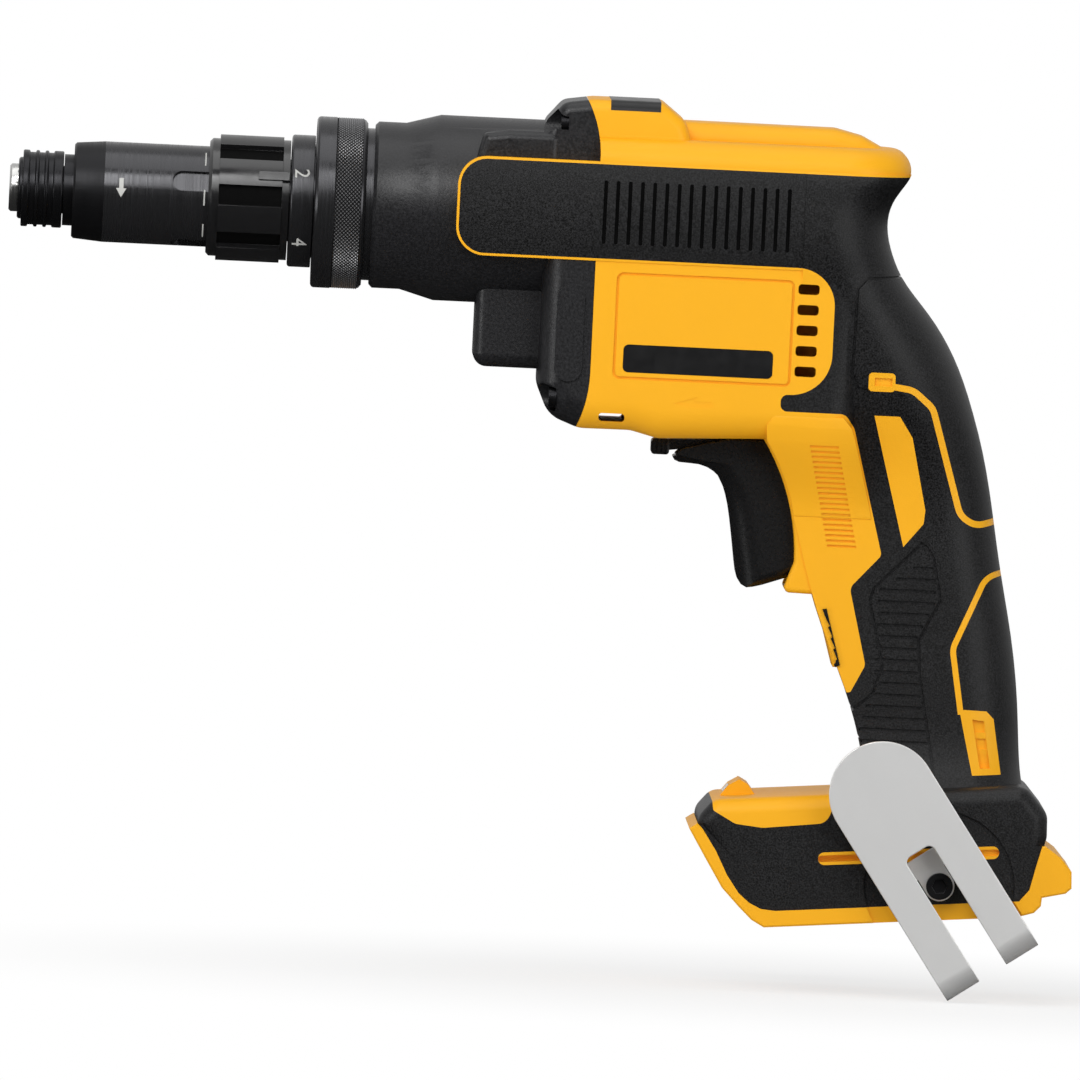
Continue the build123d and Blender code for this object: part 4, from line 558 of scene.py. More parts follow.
@dataclass
class SoftEdges:
    """A CAD node carried over with its moulded or turned edges rounded."""

    node: str
    width_mm: float = 0.4
    segments: int = 2
    angle_deg: float = 30.0
    flat_deg: float = 0.5

    def build(self) -> Piece:
        """Makes the rounded piece and puts it in the node's place.

        Returns:
            The new piece.
        """
        entry = next(part for part in frame["record"]["subparts"] if part["node"] == self.node)
        body = frame["nodes"][self.node]["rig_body"]
        piece = node_copy(self.node, f"{self.node}_finished")
        edit(piece, lambda: bpy.ops.mesh.dissolve_limited(angle_limit=math.radians(self.flat_deg)))
        bevel(piece, self.width_mm, self.segments, self.angle_deg)
        smooth(piece)
        even_shading(piece)
        place_piece(piece, body, finish_of(entry), [self.node])
        return piece


def paint_where(piece: Piece, finish: Finish, chosen: Callable[[Vector, Vector], bool]) -> None:
    """Gives part of a piece a second finish.

    Args:
        piece: The piece, already dressed.
        finish: The second finish.
        chosen: Tells from a face's middle, in millimetres, and its normal whether the face gets it.
    """
    second = len(piece.data.materials)
    piece.data.materials.append(finish.build())
    for face in piece.data.polygons:
        if chosen(face.center / MM, face.normal):
            face.material_index = second


def wrap(piece: Piece, target: Piece, angle_deg: float, lift_mm: float, cuts: int = 2) -> None:
    """Lays a flat mark on a round piece and turns it to its place.

    Args:
        piece: The mark, drawn flat and upright on the near side of the spindle line.
        target: The round piece it lies on.
        angle_deg: Its height above the near side, as an angle about the spindle.
        lift_mm: How far it stands off the surface.
        cuts: How finely it is divided to follow the round.
    """
    edit(piece, bpy.ops.mesh.quads_convert_to_tris, lambda: bpy.ops.mesh.subdivide(number_cuts=cuts))
    apply_modifier(
        piece, "SHRINKWRAP", wrap_method="PROJECT", use_project_y=True, use_positive_direction=True,
        use_negative_direction=False, target=target, offset=lift_mm * MM,
    )
    apply_modifier(piece, "SOLIDIFY", thickness=4 * lift_mm * MM, offset=-1)
    edit(piece, face_out, lambda: turn_mesh(angle_deg, "X"))


@dataclass
class KnurledRing:
    """Depth ring with a diamond knurl round its back half, a little coarser than life so that it shows."""

    front: float = 89.0
    back: float = 103.8
    radius: float = 25.0
    bore: float = 16.58
    knurl_front: float = 95.2
    knurl_back: float = 102.4
    cut: float = 0.5
    rows: int = 13
    steps: int = 264

    def build(self) -> None:
        """Turns the ring and presses in the knurl."""
        pitch = (self.knurl_back - self.knurl_front) / self.rows
        knurl = [(self.knurl_front + row * pitch, self.radius) for row in range(self.rows + 1)]
        r = self.radius
        profile = [
            (self.front, self.bore), (self.front, r - 0.9), (self.front + 0.3, r - 0.3), (self.front + 0.9, r),
            (self.knurl_front - 0.5, r), (self.knurl_front - 0.3, r - 0.3), *knurl,
            (self.knurl_back + 0.2, r - 0.3), (self.back - 0.7, r - 0.5), (self.back, r - 1.4),
            (self.back, self.bore), (self.front, self.bore),
        ]
        ring = lathe("knurled_ring_finished", profile, self.steps)
        self.press(ring, pitch)
        smooth(ring, 20)
        place_piece(ring, "knurled_ring", ANODISED, ["knurled_ring"])
        # The knurled band is darker, and its tips paler: partly worn bare, partly a painted highlight.
        paint_where(ring, KNURLED_METAL, self.in_knurl)

    def in_knurl(self, place: Vector, _: Vector) -> bool:
        """Tells whether a face lies in the knurled band."""
        return self.knurl_front < place.x < self.knurl_back and math.hypot(place.y, place.z) > self.bore + 1

    def press(self, ring: Piece, pitch: float) -> None:
        """Pushes in every second corner of the knurled band, so that its tips stand in diamonds.

        Args:
            ring: The turned ring.
            pitch: Space between rows of corners.
        """
        step = 2 * math.pi / self.steps
        edit(ring, lambda: bpy.ops.mesh.select_all(action="DESELECT"))
        for corner in ring.data.vertices:
            x, y, z = (value / MM for value in corner.co)
            row = round((x - self.knurl_front) / pitch)
            on_row = abs(x - self.knurl_front - row * pitch) < 0.01 and 0 <= row <= self.rows
            column = round(math.atan2(y, z) / step)
            corner.select = on_row and math.hypot(y, z) > self.radius - 0.05 and (row + column) % 2 == 0
        share = (self.radius - self.cut) / self.radius
        bpy.ops.object.mode_set(mode="EDIT")
        bpy.ops.transform.resize(value=(1, share, share), center_override=(0, 0, 0))
        bpy.ops.object.mode_set(mode="OBJECT")
        edit(ring, lambda: bpy.ops.mesh.quads_convert_to_tris(quad_method="SHORTEST_DIAGONAL"))


@dataclass
class NoseMarks:
    """Plain numbers, scale line and arrow painted on the nose."""

    number_x: float = 84.9
    number_size: float = 6.2
    number_angles: tuple[tuple[str, float], ...] = (
        ("2", 26.1), ("4", -37.3), ("6", -100.7), ("8", -164.1), ("10", 132.5),
    )
    line_x: float = 56.9
    line_width: float = 0.4
    line_arcs: Points = ((39.0, 61.0), (-9.0, 9.0), (-52.0, -32.0))
    arrow_x: float = 32.6
    arrow_top: float = 4.6
    arrow_width: float = 1.25
    shaft: float = 3.0
    head_r: float = 1.75
    head_drop: float = 2.35
    sleeve_r: float = 14.7
    lift: float = 0.03
    drawn_at: float = -40.0
    arc_steps: int = 12

    def numbers(self) -> None:
        """Paints the numbers round the ring behind the collar, upright with the nose down."""
        for text, angle in self.number_angles:
            bpy.ops.object.select_all(action="DESELECT")
            bpy.ops.object.text_add(location=(0, 0, 0))
            mark = bpy.context.active_object
            mark.data.body = text
            mark.data.size = self.number_size * MM
            mark.data.align_x = mark.data.align_y = "CENTER"
            bpy.ops.object.convert(target="MESH")
            mark = bpy.context.active_object
            mark.name = f"number_{text}"
            edit(
                mark, lambda: turn_mesh(-90, "X"), lambda: turn_mesh(-90, "Y"),
                lambda: shift_mesh(self.number_x, self.drawn_at, 0),
            )
            wrap(mark, frame["nodes"]["number_ring"], angle, self.lift)
            place_piece(mark, "body", WHITE_PAINT)

    def arrow(self) -> None:
        """Paints the plain arrow on the torque sleeve, head down."""
        mark = new_square("turn_arrow")
        edit(
            mark, lambda: turn_mesh(-90, "X"),
            lambda: bpy.ops.transform.resize(value=(self.arrow_width, 1, self.shaft)),
            lambda: bpy.ops.mesh.primitive_circle_add(
                vertices=3, radius=self.head_r * MM, fill_type="NGON", location=(0, 0, -self.head_drop * MM),
                rotation=(-math.pi / 2, 0, 0),
            ),
        )
        edit(mark, lambda: shift_mesh(self.arrow_x, self.drawn_at, self.arrow_top - self.shaft / 2))
        wrap(mark, frame["nodes"]["torque_sleeve"], 0, self.lift)
        place_piece(mark, "torque_sleeve", WHITE_PAINT)

    def scale_line(self) -> None:
        """Paints the broken scale line in front of the collar."""
        middle = self.sleeve_r - self.lift
        for number, (low, high) in enumerate(self.line_arcs):
            mark = new_square(f"scale_line_{number + 1}")
            edit(
                mark, lambda: bpy.ops.transform.resize(value=(self.line_width, 4 * self.lift, 1)),
                lambda: shift_mesh(self.line_x, -middle, 0), lambda: turn_mesh(low, "X"),
                lambda: bpy.ops.mesh.spin(
                    steps=self.arc_steps, angle=math.radians(high - low), center=(0, 0, 0), axis=(1, 0, 0),
                ),
                face_out,
            )
            place_piece(mark, "torque_sleeve", WHITE_PAINT)

    def build(self) -> None:
        """Paints every mark."""
        self.numbers()
        self.arrow()
        self.scale_line()


@dataclass
class Chuck:
    """Bit holder and its grooved sleeve; only the ground tip of the core stays bright."""

    tip_end: float = 2.7
    core_edge: float = 0.2
    sleeve_edge: float = 0.25

    def build(self) -> None:
        """Rounds both pieces and blackens the neck of the core."""
        core = SoftEdges("chuck_core", self.core_edge).build()
        edit(core, lambda: bpy.ops.mesh.bisect(plane_co=(self.tip_end * MM, 0, 0), plane_no=(1, 0, 0)))
        paint_where(core, OXIDE_STEEL, lambda place, _: place.x > self.tip_end)
        SoftEdges("chuck_sleeve", self.sleeve_edge).build()


@dataclass
class NoseSleeves:
    """Torque sleeve, locking collar and number ring."""

    band_end: float = 27.5
    edge: float = 0.25
    collar_edge: float = 0.4
    valley_r: float = 17.05
    valley_start: float = 61.0
    valley_end: float = 79.6

    def in_valley(self, place: Vector, normal: Vector) -> bool:
        """Tells whether a face of the collar is the floor of a valley."""
        radius = math.hypot(place.y, place.z)
        outward = (normal.y * place.y + normal.z * place.z) / radius
        return radius < self.valley_r and outward > 0.7 and self.valley_start < place.x < self.valley_end

    def build(self) -> None:
        """Rounds the three pieces, paints shade on the torque sleeve's tapered front band and into the collar's
        valleys.
        """
        sleeve = SoftEdges("torque_sleeve", self.edge).build()
        # The tapered front band gets painted shade.
        paint_where(sleeve, TAPER_SHADE_ANODISED, lambda place, _: place.x < self.band_end)
        collar = SoftEdges("lock_collar", self.collar_edge, 3).build()
        # The floors of the collar's valleys get painted shade.
        paint_where(collar, SHADED_NYLON, self.in_valley)
        SoftEdges("number_ring", self.edge).build()


@dataclass
class GearCase:
    """Cast gear case and its screws."""

    edge: float = 0.5
    screw_edge: float = 0.2

    def build(self) -> None:
        """Rounds the cast and turned edges."""
        SoftEdges("gear_case", self.edge, 2, 35.0).build()
        SoftEdges("gear_case_screws", self.screw_edge).build()


@dataclass
class BeltHook:
    """Bright sheet hook and its screw."""

    edge: float = 0.45
    screw_edge: float = 0.3

    def build(self) -> None:
        """Rounds the rolled edges of the sheet and the screw head."""
        SoftEdges("belt_hook", self.edge, 3, 35.0).build()
        SoftEdges("belt_hook_screw", self.screw_edge).build()


def prism(name: str, outline: Points, near: float, far: Optional[float] = None) -> Piece:
    """Draws a side outline and carries it across the tool.

    Args:
        name: The new piece's name.
        outline: Corners along the tool and up.
        near: Where it starts across the tool.
        far: Where it ends, if it isn't one flat face.

    Returns:
        The new piece.
    """
    piece = draw_line(name, [(x, near, z) for x, z in outline])
    edit(piece, bpy.ops.mesh.edge_face_add)
    if far is not None:
        edit(piece, lambda: carry_mesh(0, far - near, 0), face_out)
    return piece


class Joining(Enum):
    """How one shape acts on another."""

    CUT = "DIFFERENCE"
    UNITE = "UNION"
    SHARE = "INTERSECT"


def combine(piece: Piece, other: Piece, joining: Joining = Joining.CUT) -> None:
    """Cuts one piece with another, unites the two or keeps what they share, and removes the other."""
    apply_modifier(piece, "BOOLEAN", operation=joining.value, solver="EXACT", object=other)
    bpy.data.objects.remove(other)


@dataclass(frozen=True)
class FootBand:
    """Where the soft skin runs down the foot's side to the narrow hard lip."""

    origin: tuple[float, float] = (229.5, -204.0)
    tilt_deg: float = 4.7
    corners: Points = (
        (-17.2, 30.4), (-12.9, 22.7), (-10.0, 15.7), (-6.8, 10.3), (-3.9, 7.4), (-0.5, 5.4), (3.7, 4.7),
        (74.8, 5.0), (77.9, 8.2), (80.1, 15.0), (82.2, 21.0), (71.7, 20.5), (67.7, 8.5), (4.2, 8.5),
        (-5.6, 17.4), (-17.2, 31.2),
    )
    floor: float = 35.9
    face: float = 36.95
    hook_room: tuple[float, float] = (280.2, -189.5)
    hook_room_r: float = 22.0
    hook_room_steps: int = 64

    def outline(self) -> Points:
        """Corners along the tool and up, turned with the foot."""
        cos, sin = math.cos(math.radians(self.tilt_deg)), math.sin(math.radians(self.tilt_deg))
        x0, z0 = self.origin
        return [(x0 + along * cos - up * sin, z0 + along * sin + up * cos) for along, up in self.corners]

    def room(self) -> Points:
        """Edge of the round recess that the belt hook sits in."""
        x0, z0 = self.hook_room
        turns = [2 * math.pi * step / self.hook_room_steps for step in range(self.hook_room_steps)]
        return [(x0 + self.hook_room_r * math.cos(a), z0 + self.hook_room_r * math.sin(a)) for a in turns]

    def on_floor(self, place: Vector, normal: Vector) -> bool:
        """Tells whether a face of the hard shell lies under the band."""
        return abs(abs(place.y) - self.floor) < 0.02 and abs(normal.y) > 0.9

    def build(self) -> None:
        """Fills the band on both sides, but for the hook's recess on the left."""
        for hand, side in SIDES:
            piece = prism(f"{hand}_foot_band", self.outline(), side * self.floor, side * self.face)
            if side < 0:
                combine(piece, prism("hook_room", self.room(), 0, -BEYOND))
            smooth(piece)
            place_piece(piece, "body", SOFT_RUBBER)


@dataclass
class GuardFairing:
    """Smooth run of the hard shell from the motor bay's lower edge down to the narrow guard, with its finger ribs."""

    outline: Points = (
        (223.6, -58.0), (224.0, -62.6), (226.1, -66.0), (228.2, -70.0), (230.1, -74.5), (231.9, -79.5),
        (233.0, -84.45), (255.8, -84.45), (254.7, -80.0), (252.2, -70.5),
        (250.0, -62.2), (248.6, -58.0), (246.0, -54.9), (226.0, -54.9),
    )
    top: tuple[float, float] = (28.45, -54.4)
    low: tuple[float, float] = (17.55, -86.0)
    steps: int = 24
    root: float = 12.0
    reach: float = 34.0
    start: float = 200.0
    end: float = 280.0
    edge: float = 0.5
    first_rib: tuple[float, float] = (236.6, -64.0)
    last_rib: tuple[float, float] = (243.2, -93.0)
    ribs: int = 20
    rib_length: float = 8.4
    rib_width: float = 0.7
    rib_depth: float = 0.5
    last_cut: float = -84.4

    def level(self, up: float) -> float:
        """Gives the fairing's distance from the middle plane at one height, as a soft step."""
        share = (up - self.low[1]) / (self.top[1] - self.low[1])
        return self.low[0] + (self.top[0] - self.low[0]) * share * share * (3 - 2 * share)

    def shape(self, name: str, side: int) -> Piece:
        """Draws one fairing and cuts it to its section.

        Args:
            name: The piece's name.
            side: -1 for the left and 1 for the right.

        Returns:
            The fairing.
        """
        beyond = 5.0
        top, low = self.top[1], self.low[1]
        heights = [top + (low - top) * step / self.steps for step in range(self.steps + 1)]
        section = [(self.level(up), up) for up in heights] + [(self.low[0], low - beyond)]
        outer = self.reach + beyond
        section += [(outer, low - beyond), (outer, top + beyond), (self.top[0], top + beyond)]
        piece = prism(name, self.outline, side * self.root, side * self.reach)
        spare = prism("fairing_spare", [(-side * across, up) for across, up in section], self.start, self.end)
        edit(spare, lambda: turn_mesh(90, "Z"), face_out)
        combine(piece, spare)
        bevel(piece, self.edge, 2, 40)
        return piece

    def build(self) -> None:
        """Builds both fairings and cuts their ribs."""
        for hand, side in SIDES:
            piece = self.shape(f"{hand}_guard_fairing", side)
            for rib in range(self.ribs):
                share = rib / (self.ribs - 1)
                x, z = (a + (b - a) * share for a, b in zip(self.first_rib, self.last_rib))
                if z < self.last_cut:
                    break
                x1, z1 = x + self.rib_length, z + self.rib_width
                near, far = side * (self.level(z) + 1), side * (self.level(z) - self.rib_depth)
                combine(piece, prism("rib", ((x, z), (x1, z), (x1, z1), (x, z1)), near, far))
            smooth(piece, 35)
            place_piece(piece, "body", YELLOW_NYLON)


@dataclass
class TriggerGroup:
    """Trigger with its two cheeks beside the lever, and the reversing lever with its ribbed tip."""

    half: float = 10.4
    side_round: float = 3.0
    lip: Points = (
        (196.9, -69.0), (197.6, -70.0), (199.0, -70.6), (202.3, -70.8), (204.9, -71.0), (207.2, -71.7),
        (209.0, -72.7), (210.4, -73.9), (211.5, -75.3), (212.4, -77.0), (213.2, -79.4), (216.0, -80.0),
        (220.0, -76.0), (220.0, -64.7), (214.0, -64.7),
    )
    lip_round: float = 0.6
    front_block: Points = (
        (190.0, -73.2), (202.5, -73.8), (206.5, -75.0), (209.6, -77.2), (211.6, -79.9), (213.4, -84.4),
        (214.6, -90.0), (216.4, -99.6), (221.4, -130.0), (270.0, -130.0), (270.0, -40.0), (190.0, -40.0),
    )
    front_round: float = 8.0
    outline: Points = (
        (206.4, -66.4), (208.4, -70.6), (210.6, -74.2), (212.4, -77.6), (213.2, -80.0), (213.9, -82.7),
        (214.6, -86.4), (215.5, -92.2), (216.4, -98.6), (216.9, -101.6), (217.6, -103.8), (218.7, -105.4),
        (220.4, -106.3), (222.4, -106.0), (225.0, -105.3), (231.0, -103.2), (236.0, -101.4), (236.0, -66.0),
        (228.0, -64.9), (213.0, -64.8),
    )
    cheek: Points = (
        (197.6, -68.6), (199.5, -66.6), (206.0, -64.8), (212.4, -63.4), (214.0, -63.2), (234.5, -63.2),
        (234.5, -72.0), (206.0, -70.2),
    )
    cheek_inner: float = 8.7
    cheek_edge: float = 0.5
    lap: float = 0.01
    lever_edge: float = 0.4
    grooves: tuple[float, ...] = (192.3, 193.6, 194.9)
    groove_half: float = 0.28
    groove_reach: tuple[float, float] = (-70.0, -63.0)
    tip_half: float = 6.5
    groove_depth: float = 0.45

    def trigger(self) -> None:
        """Draws the trigger, rounds its sides and its front, and adds the lip and the cheeks."""
        piece = prism("trigger_finished", self.outline, -self.half, self.half)
        bevel(piece, self.side_round, 4, 50)
        lip = prism("trigger_lip", self.lip, 2 * self.lap - self.half, self.half - 2 * self.lap)
        bevel(lip, self.lip_round, 2, 50)
        combine(piece, lip, Joining.UNITE)
        block = prism("trigger_front", self.front_block, -self.half - self.lap, self.half + self.lap)
        bevel(block, self.front_round, 8, 50)
        combine(piece, block, Joining.SHARE)
        for side in (-1, 1):
            cheek = prism("cheek", self.cheek, side * self.cheek_inner, side * self.half)
            bevel(cheek, self.cheek_edge, 2, 30)
            combine(piece, cheek, Joining.UNITE)
        smooth(piece, 35)
        even_shading(piece)
        place_piece(piece, "trigger", BLACK_NYLON, ["trigger"])

    def lever(self) -> None:
        """Rounds the lever and cuts the ribs of its tip."""
        lever = SoftEdges("reversing_lever", self.lever_edge, 3).build()
        low, high = self.groove_reach
        for x in self.grooves:
            x0, x1 = x - self.groove_half, x + self.groove_half
            for side in (-1, 1):
                outline = ((x0, low), (x1, low), (x1, high), (x0, high))
                near, far = side * (self.tip_half + 2), side * (self.tip_half - self.groove_depth)
                combine(lever, prism("lever_groove", outline, near, far))
        smooth(lever)

    def build(self) -> None:
        """Builds both pieces."""
        self.trigger()
        self.lever()


@dataclass
class GripSkin:
    """Soft overmould of both halves, with painted shade on the floors of the bar's upright grooves."""

    bar_half: float = 30.0
    bow: float = 1.1
    bar_middle: float = 1.95
    bar_reach: float = 14.45
    groove_start: float = 172.5
    groove_end: float = 229.0
    groove_low: float = -7.6
    groove_high: float = 11.1
    least_depth: float = 0.3
    most_depth: float = 4.0

    def in_groove(self, place: Vector, normal: Vector) -> bool:
        """Tells whether a face lies in one of the bar's grooves."""
        if not (self.groove_start < place.x < self.groove_end and self.groove_low < place.z < self.groove_high):
            return False
        skin = self.bar_half - self.bow * ((place.z - self.bar_middle) / self.bar_reach) ** 2
        sunk = self.bar_half - self.most_depth < abs(place.y) < skin - self.least_depth
        return sunk and abs(normal.y) > 0.5

    def build(self) -> None:
        """Carries both skins over and paints shade into the grooves."""
        for node in ("left_overmould", "right_overmould"):
            skin = node_copy(node, f"{node}_finished")
            smooth(skin)
            place_piece(skin, "body", SOFT_RUBBER, [node])
            # The floors of the bar's grooves get painted shade.
            paint_where(skin, SHADED_NYLON, self.in_groove)


@dataclass
class ShellTrim:
    """Thin pieces set on the hard shell: the plain label over the hump and the toothed strips of the handle."""

    label_start: float = 174.0
    label_end: float = 188.6
    label_z: float = 34.3
    label_flat: float = 19.5
    label_round: float = 3.5
    label_drop_deg: float = 80.0
    label_lift: float = 0.06
    strip: Points = (
        (243.7, -113.6), (245.1, -116.0), (244.6, -116.4), (246.0, -119.2), (245.5, -119.6), (246.9, -122.4),
        (246.4, -122.8), (247.7, -125.6), (247.2, -126.0), (247.5, -127.6), (248.6, -127.4), (243.9, -111.0),
        (242.7, -111.2),
    )
    strip_lift: float = 0.15
    strip_cuts: int = 6

    def label_profile(self) -> Points:
        """Places across and up of the label, from the left side over the top to the right side."""
        middle = self.label_z - self.label_round
        r = self.label_round + self.label_lift
        steps = 8
        turns = [math.radians(self.label_drop_deg * step / steps) for step in range(steps, -1, -1)]
        left = [(-self.label_flat - r * math.sin(a), middle + r * math.cos(a)) for a in turns]
        return left + [(-y, z) for y, z in reversed(left)]

    def label(self) -> None:
        """Draws the label's section and carries it along the hump."""
        piece = draw_line("top_label", [(self.label_start, y, z) for y, z in self.label_profile()])
        edit(piece, lambda: carry_mesh(self.label_end - self.label_start, 0, 0), face_out)
        apply_modifier(piece, "SOLIDIFY", thickness=2 * self.label_lift * MM, offset=0)
        edit(piece, face_out)
        smooth(piece)
        place_piece(piece, "body", PLATE_FOIL)

    def strips(self) -> None:
        """Lays one toothed strip on each side of the handle's front."""
        for hand, side in SIDES:
            piece = prism(f"{hand}_toothed_strip", self.strip, -BEYOND)
            wrap(piece, frame["nodes"]["left_housing"], 0, self.strip_lift, self.strip_cuts)
            edit(piece, lambda: bpy.ops.transform.resize(value=(1, -side, 1), center_override=(0, 0, 0)), face_out)
            place_piece(piece, "body", BLACK_NYLON)

    def build(self) -> None:
        """Builds the trim; the strips fall on the shell as model.glb has it."""
        self.label()
        self.strips()


@dataclass
class YellowShell:
    """Left and right halves of the hard shell with their moulded recesses."""

    buckle: Points = ((287.9, -141.3), (291.5, -141.8), (293.7, -155.4), (290.8, -155.5))
    bars: Points = ((-145.0, -146.8), (-149.9, -151.5))
    box: Points = ((254.6, -42.8), (259.7, -42.8), (259.7, -45.1), (254.6, -45.1))
    arrow: Points = (
        (196.4, -53.0), (203.0, -50.9), (202.2, -52.2), (207.6, -52.2), (207.6, -53.6), (201.4, -53.6),
    )
    buckle_depth: float = 0.15
    box_depth: float = 0.6
    arrow_depth: float = 0.2
    window_depth: float = 0.9
    window_rim: float = 0.3
    window_edge: float = 0.25

    def floor_of(self, outline: Points, depth: float) -> float:
        """Finds how far from the middle plane a recess ends.

        Args:
            outline: Its corners.
            depth: Its depth where the shell lies lowest.

        Returns:
            The distance.
        """
        shell = frame["nodes"]["left_housing"]
        hits = [shell.ray_cast(Vector((x * MM, -1.0, z * MM)), Vector((0, 1, 0))) for x, z in outline]
        return min(-place.y / MM if hit else 0.0 for hit, place, _, _ in hits) - depth

    def recesses(self) -> list[tuple[str, Points, float]]:
        """Names, outlines and depths of the recesses."""
        first, second, third, fourth = self.buckle
        found: list[tuple[str, Points, float]] = [
            ("buckle_recess", self.buckle, self.buckle_depth), ("box_recess", self.box, self.box_depth),
            ("arrow_recess", self.arrow, self.arrow_depth),
        ]
        tops = [first[1] - self.window_rim] + [low for _, low in self.bars]
        lows = [top for top, _ in self.bars] + [third[1] + self.window_rim]
        edges = ((first, fourth, self.window_edge), (second, third, -self.window_edge))
        for number, (top, low) in enumerate(zip(tops, lows)):
            left, right = (
                [(a[0] + inset + (b[0] - a[0]) / (b[1] - a[1]) * (z - a[1]), z) for z in (top, low)]
                for a, b, inset in edges
            )
            found.append((f"buckle_window_{number + 1}", (*left, *reversed(right)), self.window_depth))
        return found

    def build(self) -> None:
        """Cuts the recesses into both halves."""
        cuts = [(name, outline, self.floor_of(outline, depth)) for name, outline, depth in self.recesses()]
        band = FootBand()
        cuts.append(("foot_band", band.outline(), band.floor))
        for hand, side in SIDES:
            node = f"{hand}_housing"
            shell = node_copy(node, f"{node}_finished")
            for name, outline, floor in cuts:
                combine(shell, prism(name, outline, side * BEYOND, side * floor))
            smooth(shell)
            place_piece(shell, "body", YELLOW_NYLON, [node])
            paint_where(shell, SOFT_RUBBER, band.on_floor)


class CarriedNodes:
    """CAD nodes that are shown as they are, each with its own material."""

    def build(self) -> None:
        """Gives every CAD node the material of its slot."""
        for entry in frame["record"]["subparts"]:
            dress(frame["nodes"][entry["node"]], finish_of(entry))
        LOG.info("dressed %d carried nodes", len(frame["nodes"]))


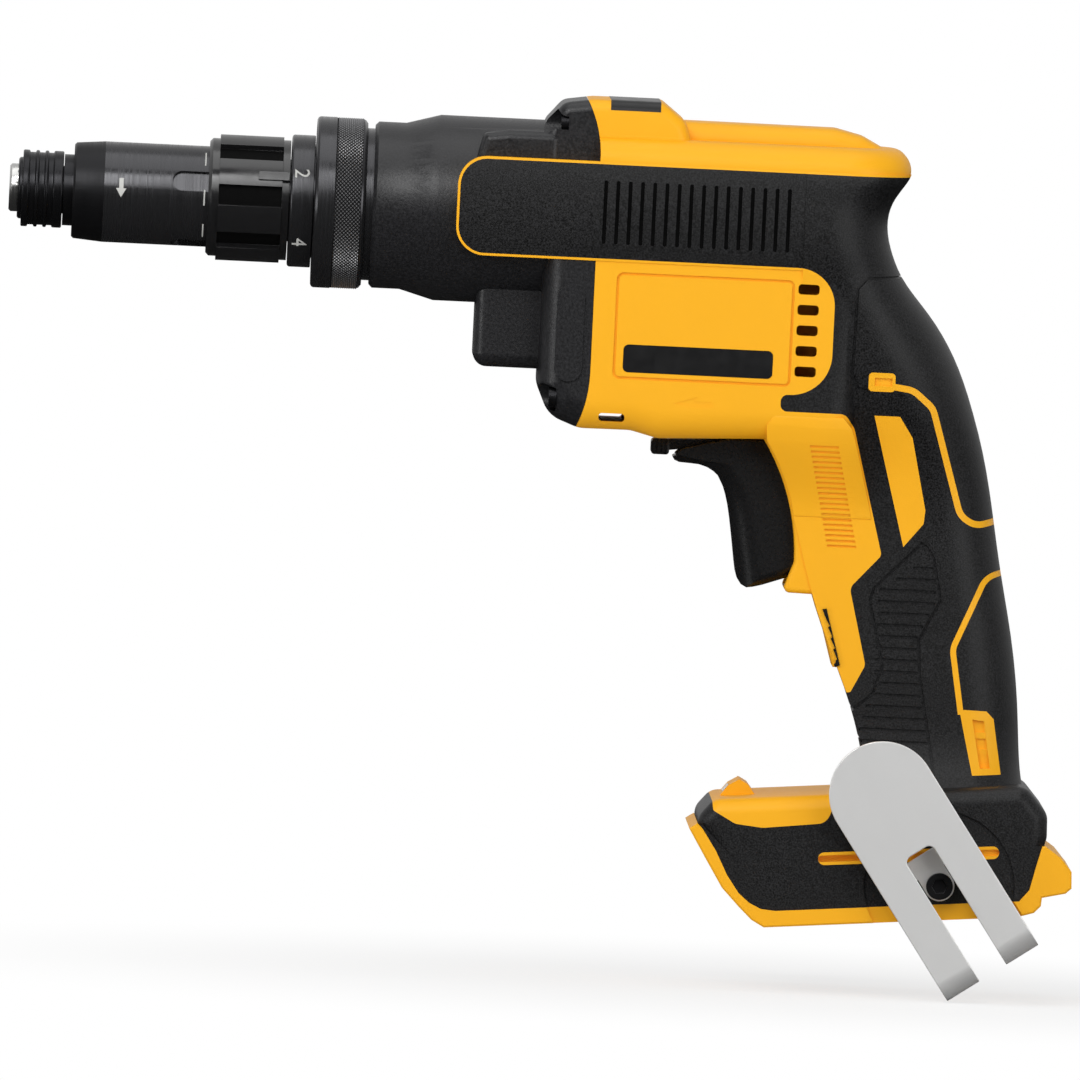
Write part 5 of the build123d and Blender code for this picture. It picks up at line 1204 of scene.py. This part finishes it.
@dataclass
class Studio:
    """Floor, light and camera at the photograph's angle."""

    centre_mm: tuple[float, float, float] = (159.7, 0.0, -95.6)
    width_mm: float = 315.4
    roll_deg: float = 2.76
    rise_deg: float = 2.0
    yaw_deg: float = 0.8
    distance: float = 12.0
    aim_m: tuple[float, float, float] = (0.16, 0.0, -0.08)
    soft_level: float = 0.23
    front_level: float = 0.08
    back_level: float = 0.7
    mirror_span: tuple[float, float] = (-0.85, 0.3)
    shadow_x_m: float = 0.24
    shadow_r_m: tuple[float, float] = (0.05, 0.32)
    shadow_white: float = 0.74
    floor_m: float = 30.0
    floor_drop_m: float = 0.0005

    def camera(self) -> None:
        """Sets a long lens on the left side of the tool."""
        rise, yaw, roll = (math.radians(a) for a in (self.rise_deg, self.yaw_deg, self.roll_deg))
        place = Matrix.Translation(Vector(self.centre_mm) * MM)
        for angle, axis in ((-yaw, "Z"), (math.pi / 2 - rise, "X"), (roll, "Z")):
            place = place @ Matrix.Rotation(angle, 4, axis)
        data = bpy.data.cameras.new("studio_camera")
        data.sensor_fit = "HORIZONTAL"
        data.angle = 2 * math.atan(self.width_mm * MM / 2 / self.distance)
        data.clip_end = 40
        camera = bpy.data.objects.new("studio_camera", data)
        camera.matrix_world = place @ Matrix.Translation((0, 0, self.distance))
        bpy.context.scene.collection.objects.link(camera)
        bpy.context.scene.camera = camera

    def lamp(self, name: str, place_m: Sequence[float], side_m: float, watts: float) -> None:
        """Adds one soft box that faces the tool.

        Args:
            name: The lamp's name.
            place_m: Where it stands.
            side_m: Its side length.
            watts: Its power.
        """
        data = bpy.data.lights.new(name, "AREA")
        data.shape, data.size, data.energy = "SQUARE", side_m, watts
        lamp = bpy.data.objects.new(name, data)
        away = (Vector(place_m) - Vector(self.aim_m)).to_track_quat("Z", "Y")
        lamp.matrix_world = Matrix.Translation(Vector(place_m)) @ away.to_matrix().to_4x4()
        bpy.context.scene.collection.objects.link(lamp)

    def light(self) -> None:
        """Sets the soft boxes and the surround, white behind the tool and dimmer on the camera's side."""
        self.lamp("key_box", (-0.35, -1.45, 0.95), 0.9, 15.5)
        self.lamp("fill_box", (1.2, -1.4, 0.0), 1.2, 10.8)
        self.lamp("top_box", (0.15, -0.25, 1.4), 1.2, 6.0)
        self.lamp("side_box", (-1.3, -0.8, -0.05), 0.5, 4.0)
        world = bpy.data.worlds.new("studio_surround")
        tree = blank_tree(world)
        straight, glossy = self.rays(tree)
        axes = add_node(tree, "SeparateXYZ", {"Vector": add_node(tree, "TexCoord").outputs["Generated"]})
        levels = (self.front_level - self.soft_level, self.back_level - self.soft_level)
        mirrored = remap(tree, axes.outputs["Y"], self.mirror_span, levels)
        level = reckon(tree, "MAXIMUM", straight, reckon(tree, "MULTIPLY_ADD", glossy, mirrored, self.soft_level))
        sky = add_node(tree, "Background", {"Color": linear("#FFFFFF"), "Strength": level})
        add_node(tree, "OutputWorld", {"Surface": sky.outputs[0]})
        bpy.context.scene.world = world
        bpy.context.scene.view_settings.view_transform = "Standard"

    def rays(self, tree: Tree) -> tuple[Socket, Socket]:
        """Tells rays apart, so that the background is white where it is looked at.

        Args:
            tree: The node tree of the floor or the surround.

        Returns:
            1 for rays straight from the camera or through glass, and 1 for mirrored rays.
        """
        path = add_node(tree, "LightPath").outputs
        straight = reckon(tree, "MAXIMUM", path["Is Camera Ray"], path["Is Transmission Ray"])
        return straight, path["Is Glossy Ray"]

    def floor(self) -> None:
        """Lays a plain pale floor under the lowest point, white away from the tool's shadow."""
        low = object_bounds()[0][2]
        floor = new_square("studio_floor", self.floor_m)
        edit(floor, lambda: bpy.ops.transform.translate(value=(0, 0, low - self.floor_drop_m)))
        material = bpy.data.materials.new("pale_floor")
        tree = blank_tree(material)
        straight, glossy = self.rays(tree)
        place = add_node(tree, "TexCoord").outputs["Object"]
        reach = add_node(tree, "VectorMath", {0: place, 1: (self.shadow_x_m, 0.0, low)}, operation="DISTANCE")
        fade = remap(tree, reach.outputs["Value"], self.shadow_r_m, (self.shadow_white, 1.0), "SMOOTHSTEP")
        share = reckon(tree, "MULTIPLY", straight, fade)
        mirrored = blend(tree, glossy, linear("#DCDCDC"), linear("#3A3A3A"))
        pale = blend(tree, straight, mirrored, linear("#F2F2F2"))
        matt = add_node(tree, "BsdfDiffuse", {"Color": pale})
        white = add_node(tree, "Emission", {"Color": linear("#FFFFFF"), "Strength": 1.0})
        mix = add_node(tree, "MixShader", {0: share, 1: matt.outputs[0], 2: white.outputs[0]})
        add_node(tree, "OutputMaterial", {"Surface": mix.outputs[0]})
        floor.data.materials.append(material)
        floor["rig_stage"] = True

    def build(self) -> None:
        """Sets up the whole studio."""
        self.floor()
        self.light()
        self.camera()


def main() -> None:
    """Builds every sub-assembly in order."""
    logging.basicConfig(level=logging.INFO, format="%(message)s")
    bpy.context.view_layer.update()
    for assembly in (
        CarriedNodes, NoseMarks, Chuck, NoseSleeves, KnurledRing, GearCase, ShellTrim, YellowShell, GripSkin, FootBand,
        GuardFairing, TriggerGroup, BeltHook, Studio,
    ):
        assembly().build()


if __name__ == "__main__":
    main()
